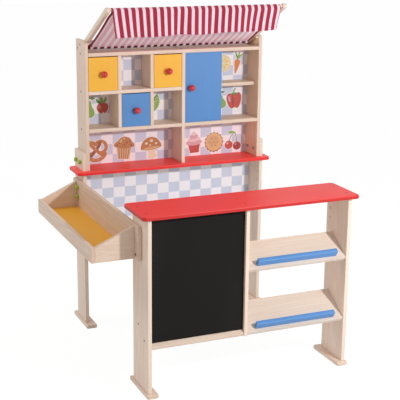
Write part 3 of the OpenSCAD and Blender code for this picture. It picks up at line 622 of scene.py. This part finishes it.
def pretzel():
    knots = [(band(arc(-13, 4, 15, 20, 300, 26), 9), "crust"),
             (band(arc(13, 4, 15, 160, -120, 26), 9), "crust"),
             (band(arc(0, -2, 27, 200, 340, 24), 10), "crust")]
    strand = [(16, -18), (6, -8), (-4, 2), (-12, 12), (-10, 18)]
    cross = [(band([(-x, z) for x, z in strand], 8.5), "crustDark"), (band(strand, 8.5), "crust")]
    grains = [(oval(x, z, 1.3, 1.0, a, 8), "salt") for x, z, a in
              ((-20, 14, 20), (-25, 2, 80), (20, 14, 10), (25, 1, 60), (-10, -26, 0), (4, -28, 30),
               (14, -23, 50), (0, 0, 15))]
    return knots + cross + grains


def muffin():
    cup = [(-20, 2), (20, 2), (15, -28), (-15, -28)]
    pleats = [(band([(x, 1), (x * 0.76, -27)], 1.6), "crustDark") for x in (-14, -7, 0, 7, 14)]
    top = smooth([(-25, 4), (-27, 12), (-18, 20), (-10, 28), (2, 31), (14, 27), (20, 19), (27, 12),
                  (25, 4), (0, 0)])
    glint = smooth([(-18, 12), (-8, 24), (2, 27), (-4, 20)])
    chips = [(oval(x, z, 2.6, 2.0, x * 9, 12), "brown") for x, z in
             ((-14, 14), (-4, 22), (7, 15), (15, 20), (0, 9), (-19, 8), (19, 9))]
    return [(cup, "tan")] + pleats + [(top, "crust"), (glint, "crumb")] + chips


def mushroom():
    stem = even([(0, -30), (12, -27), (9, -18), (8, -2)])
    cap = even([(0, 27), (16, 22), (26, 10), (28, -2), (14, -6), (0, -7)])
    gills = even([(0, -6), (12, -5), (24, -2), (10, 1)])
    spots = [(oval(x, z, r, r * 0.8, 0, 14), "cream") for x, z, r in
             ((-12, 12, 4), (3, 17, 4.6), (15, 8, 3.4), (-2, 6, 2.6))]
    return [(stem, "cream"), (cap, "crust"), (gills, "tan")] + spots


def cracker():
    edge = [polar(27 + 1.6 * math.cos(math.radians(16 * 7.5 * i)), 7.5 * i) for i in range(48)]
    holes = [(oval(x, z, 1.6, 1.6, 0, 10), "crustDark") for x, z in
             [(0, 0)] + [polar(12, 60 * k) for k in range(6)]]
    return [(edge, "crustDark"), (oval(0, 0.6, 25, 25), "crumb"),
            (oval(-3, 4, 17, 15), "tan")] + holes


def cupcake():
    cup = [(-18, -4), (18, -4), (13, -29), (-13, -29)]
    pleats = [(band([(x, -5), (x * 0.74, -28)], 1.5), "redDark") for x in (-12, -6, 0, 6, 12)]
    swirls = [(oval(0, 1, 24, 9), "pink"), (oval(0, 10, 19, 8), "pinkLight"),
              (oval(0, 18, 13, 7), "pink"), (oval(0, 25, 7, 6), "pinkLight")]
    beads = [(oval(x, z, 1.3, 1.3, 0, 8), ink) for x, z, ink in
             ((-15, 2, "yellow"), (-4, 0, "green"), (9, 3, "red"), (-8, 11, "red"),
              (5, 12, "yellow"), (-1, 20, "green"), (17, 0, "yellow"))]
    return [(cup, "red")] + pleats + swirls + beads


def cherries():
    return [(band([(-12, -2), (-6, 14), (6, 26)], 2.0), "greenDark"),
            (band([(14, -6), (12, 10), (6, 26)], 2.0), "greenDark"),
            (smooth([(6, 26), (-4, 30), (-16, 27), (-8, 22)]), "green"),
            (oval(-13, -12, 13, 12.5), "red"), (oval(14, -16, 13, 12.5), "redDark"),
            (oval(-17, -7, 3.4, 2.4, 40, 12), "pinkLight"),
            (oval(10, -11, 3.2, 2.2, 40, 12), "pink")]


def pear():
    return [(even([(0, 20), (8, 16), (11, 4), (20, -10), (18, -25), (0, -31)]), "green"),
            (smooth([(-6, 14), (-14, -8), (-13, -22), (-4, -10)]), "yellowLight"),
            (band([(0, 18), (1, 25), (5, 31)], 2.6), "brown"),
            (smooth([(3, 26), (12, 30), (20, 26), (11, 22)]), "greenDark")]


def radish():
    return [(smooth([(0, 10), (-7, 22), (-17, 32), (-18, 22), (-8, 12)]), "greenDark"),
            (smooth([(0, 10), (7, 22), (17, 31), (18, 22), (8, 12)]), "green"),
            (smooth([(-4, 10), (-4, 26), (0, 36), (5, 26), (4, 10)]), "green"),
            (even([(0, 14), (-16, 10), (-20, -4), (-12, -17), (-2, -24), (0, -34)]), "red"),
            (smooth([(-5, -22), (0, -33), (5, -22), (0, -17)]), "white"),
            (oval(-9, 2, 3.4, 6, 20, 14), "pink")]


def peaPod():
    pod = even([(0, -14), (20, -8), (34, 8), (18, 4), (0, 1)])
    lid = even([(0, 12), (18, 12), (34, 8), (18, 2), (0, -2)])
    peas = [(oval(x, rise + 0.03 * abs(x), r, r, 0, 18), ink) for rise, r, ink in
            ((1, 5.4, "yellowLight"), (0.6, 4.6, "green")) for x in (-18, -6, 6, 18)]
    return [(lid, "greenDark"), (pod, "green")] + peas


def lemonSlice():
    wedges = [([polar(3, a + 22.5), polar(18, a + 8), polar(20, a + 22.5), polar(18, a + 37)],
               "yellow") for a in range(0, 360, 45)]
    return [(oval(0, 0, 27, 27), "yellow"), (oval(0, 0, 23.5, 23.5), "cream")] + wedges


def carrot():
    root = smooth([(-9, 8), (-8, -6), (-3, -24), (1, -34), (5, -24), (9, -6), (10, 8), (0, 13)])
    lines = [(band([(x, z), (x + w, z - 0.8)], 1.4), "orangeDark") for x, z, w in
             ((-8, 2, 7), (1, -4, 6), (-6, -12, 5), (0, -18, 4))]
    leaves = [(smooth([(0, 10), (-8, 22), (-14, 34), (-4, 26)]), "greenDark"),
              (smooth([(0, 10), (8, 22), (15, 32), (4, 26)]), "green"),
              (smooth([(-3, 10), (-2, 26), (1, 38), (4, 24)]), "green")]
    return leaves + [(root, "orange")] + lines


def pepper():
    return [(even([(0, -25), (10, -28), (20, -14), (23, 6), (16, 16), (4, 14)]), "red"),
            (smooth([(-3, 12), (-7, -6), (-3, -24), (0, -8)]), "redDark"),
            (oval(-14, 0, 3, 9, 12, 14), "pink"),
            (smooth([(-9, 14), (0, 18), (9, 14), (0, 10)]), "greenDark"),
            (band([(0, 15), (1, 23), (6, 29)], 4.4), "green")]


def egg():
    return [(even([(0, 27), (13, 16), (18, 0), (14, -16), (0, -23)]), "tan"),
            (smooth([(-4, 20), (-12, 8), (-12, -4), (-6, 8)]), "cream")]


# every picture: where its middle is on the panel, in millimetres, its size and its turn
pictures = [
    (pretzel, 80, 650, 1.45, 4), (muffin, 190, 645, 1.45, -4), (mushroom, 298, 642, 1.45, 6),
    (cupcake, 474, 646, 1.36, 3), (cracker, 558, 642, 1.42, 0), (cherries, 638, 642, 1.3, 0),
    (pear, 52, 808, 1.3, -5), (radish, 108, 806, 1.12, 8), (peaPod, 312, 804, 1.2, 62),
    (lemonSlice, 592, 946, 1.16, 0), (carrot, 650, 944, 1.2, -12), (pear, 582, 806, 1.1, 6),
    (pepper, 640, 808, 1.36, 4), (egg, 446, 938, 1.06, -6), (egg, 496, 936, 1.0, 10),
    (muffin, 462, 808, 1.06, 5), (cherries, 84, 942, 0.96, 0), (lemonSlice, 206, 808, 0.96, 10),
    (pear, 328, 942, 1.06, 6)]
paperEdge = 0.0022


def insideRing(x, z, ring):
    inside = False
    for (x1, z1), (x2, z2) in zip(ring, ring[1:] + ring[:1]):
        if (z1 > z) != (z2 > z) and x < (x2 - x1) * (z - z1) / (z2 - z1) + x1:
            inside = not inside
    return inside


def grown(ring, by):  # the ring pushed outwards, for the paper edge round a picture
    ring = [Vector(p) for p in ring]
    after = ring[1:] + ring[:1]
    way = 1 if sum(a.cross(b) for a, b in zip(ring, after)) > 0 else -1
    return [p - (b - a).orthogonal().normalized() * by * way
            for a, p, b in zip(ring[-1:] + ring, ring, after)]


def printedPanel(node, layers):
    low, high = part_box(node)
    corners = [(low.x, low.z), (high.x, low.z), (high.x, high.z), (low.x, high.z)]
    points, edges = [], []
    for ring in [corners] + [ring for ring, ink in layers]:
        first = len(points)
        points += [Vector(p) for p in ring]
        edges += [(first + i, first + (i + 1) % len(ring)) for i in range(len(ring))]
    spots, _, faces = delaunay_2d_cdt(points, edges, [], 0, 1e-6)[:3]
    boxes = [[end(p[k] for p in ring) for k in (0, 1) for end in (min, max)]
             for ring, ink in layers]
    bm = bmesh.new()
    ink, inked = bm.loops.layers.float_color.new("ink"), bm.faces.layers.float.new("inked")
    raw = bm.faces.layers.float.new("raw")
    front = [bm.verts.new((p.x, low.y, p.y)) for p in spots]
    for face in faces:
        made = bm.faces.new([front[i] for i in face])
        cx = sum(spots[i].x for i in face) / len(face)
        cz = sum(spots[i].y for i in face) / len(face)
        for (ring, colour), (x0, x1, z0, z1) in zip(reversed(layers), reversed(boxes)):
            if x0 < cx < x1 and z0 < cz < z1 and insideRing(cx, cz, ring):
                made[inked] = 1.0
                for loop in made.loops:
                    loop[ink] = (*paint(inks[colour]), 1)
                break
    rim = [min(front, key=lambda v: (v.co.x - x) ** 2 + (v.co.z - z) ** 2) for x, z in corners]
    back = [bm.verts.new((x, high.y, z)) for x, z in corners]
    bm.faces.new(back[::-1])[raw] = 1.0
    for i in range(4):
        bm.faces.new((rim[i - 1], back[i - 1], back[i], rim[i]))[raw] = 1.0
    bmesh.ops.recalc_face_normals(bm, faces=bm.faces)
    newPiece(node, bm, smooth=False)


layers = []
for shape, x, z, size, turn in pictures:
    c, s = polar(size * mm, turn)
    place = at(x, 0, z)
    drawn = [([(place.x + c * px - s * pz, place.z + s * px + c * pz) for px, pz in ring], ink)
             for ring, ink in shape()]
    layers += [(grown(ring, paperEdge), "white") for ring, ink in drawn]
    layers += drawn
printedPanel("upper_back_panel", layers)
printedPanel("lower_back_panel", [])
print("panels printed, pictures:", len(pictures))


# the awning's cloth: a tunnel round each rod, a roof between the seams and a valance, in
# millimetres; a ripple is its height, its number of turns across and its phase
awning = {
    "rearRod": (724.0, 1041.0), "span": 298.0, "rise": 28.5, "sleeve": 6.4, "seam": 1.6,
    "slack": 5.0, "rearWrap": (-169, 184), "frontWrap": (-75, 120), "bend": 18.0, "bendEnd": 180,
    "drop": 88.0, "draw": 8.0, "rightDraw": 5.0, "rightPull": 5.0, "leftSpread": 4.5,
    "spreadGain": 8, "lowLeft": -4.0, "lowRight": 6.0, "sag": 5.0, "left": 46.0, "right": 674.0,
    "thick": 0.9, "hemThick": 0.7, "sideHem": 9.0, "lowerHem": 13.0, "roofFree": 0.3,
    "bendFree": 0.2,
    "folds": ((5.0, 4.5, 0.0), (2.0, 6.5, 0.87), (0.9, 11.3, 1.1), (0.5, 19.7, 0.4)),
    "tunnelRipple": (0.25, 41, 0.3), "roofRipple": (0.5, 17, 0.11), "roofRow": 50, "roofFade": 30,
    "sway": (2.2, 1.7, 0.6), "rightSway": (2.0, 0.6, 0.075, 9), "lowRipple": (1.6, 3.1, 0.5),
    "edgeColumns": [0, 1.2, 2.6, 4.4, 6.4, 8.2, 9.0, 9.8, 11.5], "columns": 150,
    "rows": {"rear": 23, "seam": 5, "roof": 44, "front": 14, "bend": 12, "valance": 34}}


def heading(angle):
    return Vector(polar(1, angle))


def ripple(u, height, turns, phase):
    return height * math.sin(2 * math.pi * turns * u + phase)


def clothRows():
    rearWrap, frontWrap, bendEnd = (awning[k] for k in ("rearWrap", "frontWrap", "bendEnd"))
    rise, rows = awning["rise"], awning["rows"]
    run, up, upAngle = heading(180 - rise), heading(90 - rise), 90 - rise
    rear = Vector(awning["rearRod"])
    front = rear + run * awning["span"]
    sleeve, seam, bend = awning["sleeve"], awning["seam"], awning["bend"]
    tunnel, loose = rear - Vector((0, awning["slack"])), sleeve + awning["slack"]
    rearSeam = tunnel + (loose + seam) * heading(rearWrap[1])
    frontSeam = front + (sleeve + seam) * heading(frontWrap[0])
    bendCentre = front - (bend - sleeve) * heading(frontWrap[1])
    top = bendCentre + bend * heading(bendEnd)
    fall = heading(bendEnd + 90)
    length = (top.y - front.y + awning["drop"]) / -fall.y
    bendFree, lines = awning["bendFree"], []

    def add(point, normal, free=0.0, inset=0.0, part=""):
        lines.append((point, normal, free, inset, part))

    def spread(start, stop, count, first=0):
        return [start + (stop - start) * i / count for i in range(first, count + 1)]

    for a in spread(*rearWrap, rows["rear"]):
        add(tunnel + loose * heading(a), heading(a), part="tunnel")
    for a in spread(rearWrap[1] - 180, upAngle - 180, rows["seam"], 1):
        add(rearSeam + seam * heading(a), -heading(a), part="seam")
    for u in spread(0, 1, rows["roof"], 1)[:-1]:
        hump = 4 * u * (1 - u)
        add(rearSeam.lerp(frontSeam, u) - (seam + awning["sag"] * hump) * up, up,
            awning["roofFree"] * hump, part="roof")
    for a in spread(upAngle - 180, frontWrap[0] - 180, rows["seam"])[:-1]:
        add(frontSeam + seam * heading(a), -heading(a), part="seam")
    for a in spread(*frontWrap, rows["front"]):
        add(front + sleeve * heading(a), heading(a), part="tunnel")
    for i, a in enumerate(spread(frontWrap[1], bendEnd, rows["bend"], 1)):
        free = bendFree * (i + 1) / rows["bend"]
        add(bendCentre + bend * heading(a), heading(a), free, part="bend")
    for u in spread(0, 1, rows["valance"], 1):
        free = bendFree + (1 - bendFree) * u
        add(top + fall * length * u, heading(bendEnd), free, awning["draw"] * u, "valance")
    return lines


clothLines = clothRows()
runLength = [0.0]
for (a, *_), (b, *_) in zip(clothLines, clothLines[1:]):
    runLength.append(runLength[-1] + (b - a).length)
clothWidth = awning["right"] - awning["left"]
near, inner = awning["edgeColumns"], awning["columns"]
columnPlaces = near + [near[-1] + (clothWidth - 2 * near[-1]) * i / inner for i in range(1, inner)]
columnPlaces += [clothWidth - x for x in reversed(near)]


def clothPoint(row, flatX, side, lift=0.0):
    point, normal, free, inset, part = clothLines[row]
    u = flatX / clothWidth
    drop = runLength[-1] - runLength[row]
    out = free * sum(ripple(u, *fold) for fold in awning["folds"])
    if part == "tunnel":
        height, turns, step = awning["tunnelRipple"]
        out += height + ripple(u, height, turns, row * step)
    if part == "roof":
        height, turns, step = awning["roofRipple"]
        fade = math.exp(-abs(row - awning["roofRow"]) / awning["roofFade"])
        out += fade * ripple(u, height, turns, row * step)
    by, start, perDrop, perWidth = awning["rightSway"]
    sway = free * (ripple(u, *awning["sway"])
                   + by * max(0.0, u - start) * math.sin(drop * perDrop + perWidth * u))
    hem = 0.0
    if min(flatX, clothWidth - flatX) < awning["sideHem"] or drop < awning["lowerHem"]:
        hem = awning["hemThick"] / 2
    out += side * (awning["thick"] / 2 + hem) + lift
    flat = point + normal * out
    low = inset / awning["draw"]
    along = min(1.0, runLength[row] / awning["span"])
    pull = awning["rightDraw"] * low + awning["rightPull"] * along
    x = awning["left"] + inset + (clothWidth - 2 * inset) * u + sway - pull * u ** 2
    if part == "roof":
        x -= awning["leftSpread"] * min(1.0, awning["spreadGain"] * free) * (1 - u) ** 4
    skew = awning["lowLeft"] + (awning["lowRight"] - awning["lowLeft"]) * u
    return at(x, flat.x, flat.y + (skew + ripple(u, *awning["lowRipple"])) * low)


bm = bmesh.new()
weaveUv = bm.loops.layers.uv.new("weave")
# marks: the underside, the hems and the rear tunnel's rows; the hem and tunnel reds are painted
# shade
clothMarks = [bm.faces.layers.float.new(name) for name in ("under", "hem", "fold")]
sides = {side: [[bm.verts.new(clothPoint(i, x, side)) for x in columnPlaces]
                for i in range(len(clothLines))] for side in (1, -1)}


def clothFace(corners, uvs, *marks):
    face = bm.faces.new(corners)
    for layer, mark in zip(clothMarks, marks):
        face[layer] = float(mark)
    for loop, (x, y) in zip(face.loops, uvs):
        loop[weaveUv].uv = (x * mm, y * mm)


rowsCount, columnsCount = len(clothLines), len(columnPlaces)
for i in range(rowsCount - 1):
    for j in range(columnsCount - 1):
        x0, x1, y0, y1 = columnPlaces[j], columnPlaces[j + 1], runLength[i], runLength[i + 1]
        uvs = [(x0, y0), (x1, y0), (x1, y1), (x0, y1)]
        atHem = min(x0, clothWidth - x1) < awning["sideHem"] - 0.1
        for side, grid in sides.items():
            corners = [grid[i][j], grid[i][j + 1], grid[i + 1][j + 1], grid[i + 1][j]]
            # the underside's hems and the rear tunnel's rows take their painted-shade reds
            clothFace(corners[::side], uvs[::side], side < 0, side < 0 and atHem,
                      i < awning["rows"]["rear"])
border = ([(i, 0) for i in range(rowsCount)] + [(rowsCount - 1, j) for j in range(1, columnsCount)]
          + [(i, columnsCount - 1) for i in range(rowsCount - 2, -1, -1)]
          + [(0, j) for j in range(columnsCount - 2, 0, -1)])
for (i, j), (k, l) in zip(border, border[1:] + border[:1]):
    uvs = [(columnPlaces[n], runLength[m]) for m, n in ((i, j), (k, l), (k, l), (i, j))]
    corners = [sides[1][i][j], sides[1][k][l], sides[-1][k][l], sides[-1][i][j]]
    # the side edges take the hem red: painted shade
    clothFace(corners, uvs, False, j == l)
bmesh.ops.recalc_face_normals(bm, faces=bm.faces)
clothPiece = newPiece("awning_cloth", bm)
print("awning cloth hung, rows:", rowsCount, "columns:", columnsCount)


# repeated small pieces, made with geometry nodes

def newNodes(name, sizes):
    tree = bench["tree"] = bpy.data.node_groups.new(name, "GeometryNodeTree")
    kinds = {"Geometry": "Geometry", **dict.fromkeys(sizes, "Float"), "Finish": "Material"}
    for label, kind in kinds.items():
        tree.interface.new_socket(label, in_out="INPUT", socket_type="NodeSocket" + kind)
    tree.interface.new_socket("Geometry", in_out="OUTPUT", socket_type="NodeSocketGeometry")
    return put("NodeGroupInput")


def finishNodes(given, instances):
    real = put("GeometryNodeRealizeInstances", {"Geometry": instances})[0]
    painted = put("GeometryNodeSetMaterial", {"Geometry": real, "Material": given["Finish"]})
    put("NodeGroupOutput", {"Geometry": painted[0]})
    return bench["tree"]


def repeated(name, bm, tree, sizes, mat):
    obj = linked(name, meshFrom(name, bm))
    grow = obj.modifiers.new("repeat", "NODES")
    grow.node_group = tree
    given = dict(sizes, Finish=mat)
    for item in tree.interface.items_tree:
        if item.in_out == "INPUT" and item.name in given:
            grow[item.identifier] = given[item.name]
    graph = bpy.context.evaluated_depsgraph_get()
    plain = bpy.data.meshes.new_from_object(obj.evaluated_get(graph), depsgraph=graph)
    obj.modifiers.clear()
    obj.data = plain
    if not plain.materials:
        plain.materials.append(mat)
    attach(obj, "stall")
    return obj


# heads: the slots' length and width as shares of the radius, and how each head is turned
heads = {"sides": 20, "slotLong": 1.3, "slotThin": 0.26, "slotLifts": (1.0, 1.25),
         "spinStep": 5.3, "spinBy": 0.7}


def headNodes(name, crossed):
    given = newNodes(name, ["Radius", "Height", "Recess"])
    disc = put("GeometryNodeMeshCylinder", {
        "Vertices": heads["sides"], "Radius": given["Radius"], "Depth": given["Height"]})["Mesh"]
    if crossed:
        slot = [maths("MULTIPLY", given["Radius"], heads[k]) for k in ("slotLong", "slotThin")]
        cuts = []
        for (x, y), share in zip((slot, slot[::-1]), heads["slotLifts"]):
            size = put("CombineXYZ", {0: x, 1: y, 2: given["Height"]})[0]
            cut = put("GeometryNodeMeshCube", {"Size": size})["Mesh"]
            rise = maths("MULTIPLY", given["Recess"], share)
            lift = put("CombineXYZ", {2: rise})[0]
            cuts.append(put("GeometryNodeTransform", {"Geometry": cut, "Translation": lift})[0])
        disc = put("GeometryNodeMeshBoolean", {"Mesh 1": disc, "Mesh 2": cuts},
                   operation="DIFFERENCE")["Mesh"]
    way, spin = (put("GeometryNodeInputNamedAttribute", {"Name": label}, data_type=kind)
                 for label, kind in (("way", "FLOAT_VECTOR"), ("spin", "FLOAT")))
    facing = put("FunctionNodeAlignRotationToVector", {"Vector": way[0]}, axis="Z")
    about = put("FunctionNodeAxisAngleToRotation", {"Axis": (0, 0, 1), "Angle": spin[0]})
    turned = put("FunctionNodeRotateRotation", {"Rotation": facing[0], "Rotate By": about[0]},
                 rotation_space="LOCAL")
    placed = put("GeometryNodeInstanceOnPoints", {
        "Points": given["Geometry"], "Instance": disc, "Rotation": turned[0]})
    return finishNodes(given, placed[0])


def headPoints(places):  # each place is a point and the way the head faces
    bm = bmesh.new()
    way, spin = bm.verts.layers.float_vector.new("way"), bm.verts.layers.float.new("spin")
    for count, (x, y, z, *facing) in enumerate(places):
        vert = bm.verts.new(at(x, y, z))
        vert[way] = Vector(facing)
        vert[spin] = math.sin(count * heads["spinStep"]) * heads["spinBy"]
    return bm


screws = {"Radius": 0.0034, "Height": 0.0008, "Recess": 0.0004}
plugs = {"Radius": 0.0046, "Height": 0.0005, "Recess": 0.0}
pins = {"Radius": 0.0026, "Height": 0.0004, "Recess": 0.0}
screwPlaces = [(0, 35, 185, -1, 0, 0), (0, 90, 222, -1, 0, 0)]
screwPlaces += [(720, y, z + rise, 1, 0, 0) for z in (389, 172)
                for y, rise in ((24.5, 8.2), (83.2, 46.3))]
for x, way in ((13, -1), (707, 1)):
    screwPlaces += [(x, 715, z, way, 0, 0) for z in (1011.5, 875.5, 739.5)]
    screwPlaces += [(x, 718, 1044, way, 0, 0), (x, 746, 1029, way, 0, 0)]
screwPlaces += [(389.5, y, 1018, 0, 0, 1) for y in (690, 740)]
wallPlaces = [(-13, y, 461, -1, 0, 0) for y in (76, 726)]
pinPlaces = [(x, y, z, 0, way, 0) for y, way in ((85, -1), (717, 1))
             for x, z in ((-136, 474), (-139, 457))]
plugPlaces = [(x, y, 605, 0, 0, 1) for x, y in (
    (6.5, 27), (6.5, 112), (340.5, 27), (340.5, 91), (713.5, 27), (713.5, 112))]
crossed, plain = headNodes("crossedHeads", True), headNodes("plainHeads", False)
for name, places, tree, sizes, mat, slot in (
        ("woodScrews", screwPlaces, crossed, screws, darkSteel, "steel"),
        ("counterPlugs", plugPlaces, plain, plugs, plugRed, "red_paint"),
        ("wallScrews", wallPlaces, crossed, dict(screws, Radius=0.0044), darkSteel, "steel"),
        ("lipPins", pinPlaces, plain, pins, wood, "wood")):
    repeated(name, headPoints(places), tree, sizes, mat)
print("screws and plugs set:", len(screwPlaces + wallPlaces + plugPlaces + pinPlaces))


def stitchNodes():
    given = newNodes("hemStitches", ["Pitch", "Length", "Width"])
    path = put("GeometryNodeMeshToCurve", {"Mesh": given["Geometry"]})[0]
    points = put("GeometryNodeCurveToPoints", {"Curve": path, "Length": given["Pitch"]},
                 mode="LENGTH")
    ball = put("GeometryNodeMeshIcoSphere", {"Radius": 0.5, "Subdivisions": 1})
    facing = put("FunctionNodeAlignRotationToVector", {"Vector": points["Tangent"]}, axis="X")
    size = put("CombineXYZ", {0: given["Length"], 1: given["Width"], 2: given["Width"]})
    placed = put("GeometryNodeInstanceOnPoints", {
        "Points": points["Points"], "Instance": ball["Mesh"],
        "Rotation": facing[0], "Scale": size[0]})
    return finishNodes(given, placed[0])


# stitches along the hems and beside the seams, in metres and, for their lines, millimetres
stitches = {"Pitch": 0.0042, "Length": 0.0030, "Width": 0.0005}
stitchLines = {"lift": 0.1, "sideIn": 1.6, "lowerIn": 2}


def seamPath(row, side=1):
    return [clothPoint(row, x, side, stitchLines["lift"] * side) for x in columnPlaces]


roofRows = [i for i, line in enumerate(clothLines) if line[4] == "roof"]
valanceRows = [i for i, line in enumerate(clothLines) if line[4] in ("bend", "valance")]
sideLine = awning["sideHem"] - stitchLines["sideIn"]
lowerLine = runLength[-1] - awning["lowerHem"] + stitchLines["lowerIn"]
paths = [seamPath(min(range(rowsCount), key=lambda i: abs(runLength[i] - lowerLine)))]
for x in (sideLine, clothWidth - sideLine):
    paths += [[clothPoint(i, x, 1, stitchLines["lift"]) for i in rows]
              for rows in (roofRows, valanceRows)]
paths += [seamPath(row, side) for side in (1, -1) for row in (roofRows[1], roofRows[-2])]
bm = bmesh.new()
for path in paths:
    made = [bm.verts.new(p) for p in path]
    for a, b in zip(made, made[1:]):
        bm.edges.new((a, b))
stitchPiece = repeated("clothStitches", bm, stitchNodes(), stitches, thread)
print("stitches sewn, paths:", len(paths))


# floor, light and camera; a lamp is its place, its aim, its power and its size
studio = {"floor": 30.0, "floorHeight": -0.0005, "floorColour": (0.88, 0.88, 0.88),
          "floorGlow": 0.9, "floorWhite": 1.05, "white": (1.0, 1.0, 1.0), "ambient": 0.48,
          "lamps": {"keyLight": ((0.85, -1.95, 1.45), (0.0, 0.0, 0.7), 30.5, 0.12),
                    "sideLight": ((-2.2, 1.2, 2.6), (0.0, 0.1, 0.8), 24.0, 1.2)}}
bpy.context.scene.view_settings.view_transform = "Standard"


def seenDirectly():  # 1 for the camera, mirror images and what shows through
    path = put("LightPath")
    indirect = maths("MAXIMUM", path["Is Glossy Ray"], path["Is Transmission Ray"])
    return maths("MAXIMUM", path["Is Camera Ray"], indirect)


bm = bmesh.new()
half = studio["floor"] / 2
bm.faces.new([bm.verts.new((x * half, y * half, studio["floorHeight"]))
              for x, y in ((-1, -1), (1, -1), (1, 1), (-1, 1))])
floor = linked("studioFloor", meshFrom("studioFloor", bm))
floorMat = bpy.data.materials.new("studioFloor")
startTree(floorMat)
matte = put("BsdfDiffuse", {"Color": studio["floorColour"]})
glow = put("Emission", {"Color": studio["white"], "Strength": studio["floorWhite"]})
share = maths("MULTIPLY", seenDirectly(), studio["floorGlow"])
both = put("MixShader", {0: share, 1: matte[0], 2: glow[0]})
put("OutputMaterial", {"Surface": both[0]})
floor.data.materials.append(floorMat)

world = bpy.data.worlds.new("studioWhite")
bpy.context.scene.world = world
startTree(world)
strength = sums(studio["ambient"], (seenDirectly(), 1.0 - studio["ambient"]))
sky = put("Background", {"Color": studio["white"], "Strength": strength})
put("OutputWorld", {"Surface": sky[0]})

for name, (place, aim, power, size) in studio["lamps"].items():
    lamp = linked(name, bpy.data.lights.new(name, "AREA"))
    lamp.data.energy, lamp.data.size = power, size
    lamp.location = place
    lamp.rotation_mode = "QUATERNION"
    lamp.rotation_quaternion = (Vector(aim) - Vector(place)).to_track_quat("-Z", "Y")

view = {"place": (-1.35964, -3.25344, 1.48026), "yaw": 0.4081, "pitch": -0.26352, "roll": 0.0104,
        "focal": 1045.5, "image": 400, "sensor": 36.0}
camera = linked("photoCamera", bpy.data.cameras.new("photoCamera"))
camera.data.sensor_width = view["sensor"]
camera.data.lens = view["focal"] * view["sensor"] / view["image"]
camera.matrix_world = Matrix.Translation(view["place"])
for angle, axis in ((-view["yaw"], "Z"), (math.pi / 2 + view["pitch"], "X"), (view["roll"], "Z")):
    camera.matrix_world @= Matrix.Rotation(angle, 4, axis)
bpy.context.scene.camera = camera
print("studio lit, camera set")
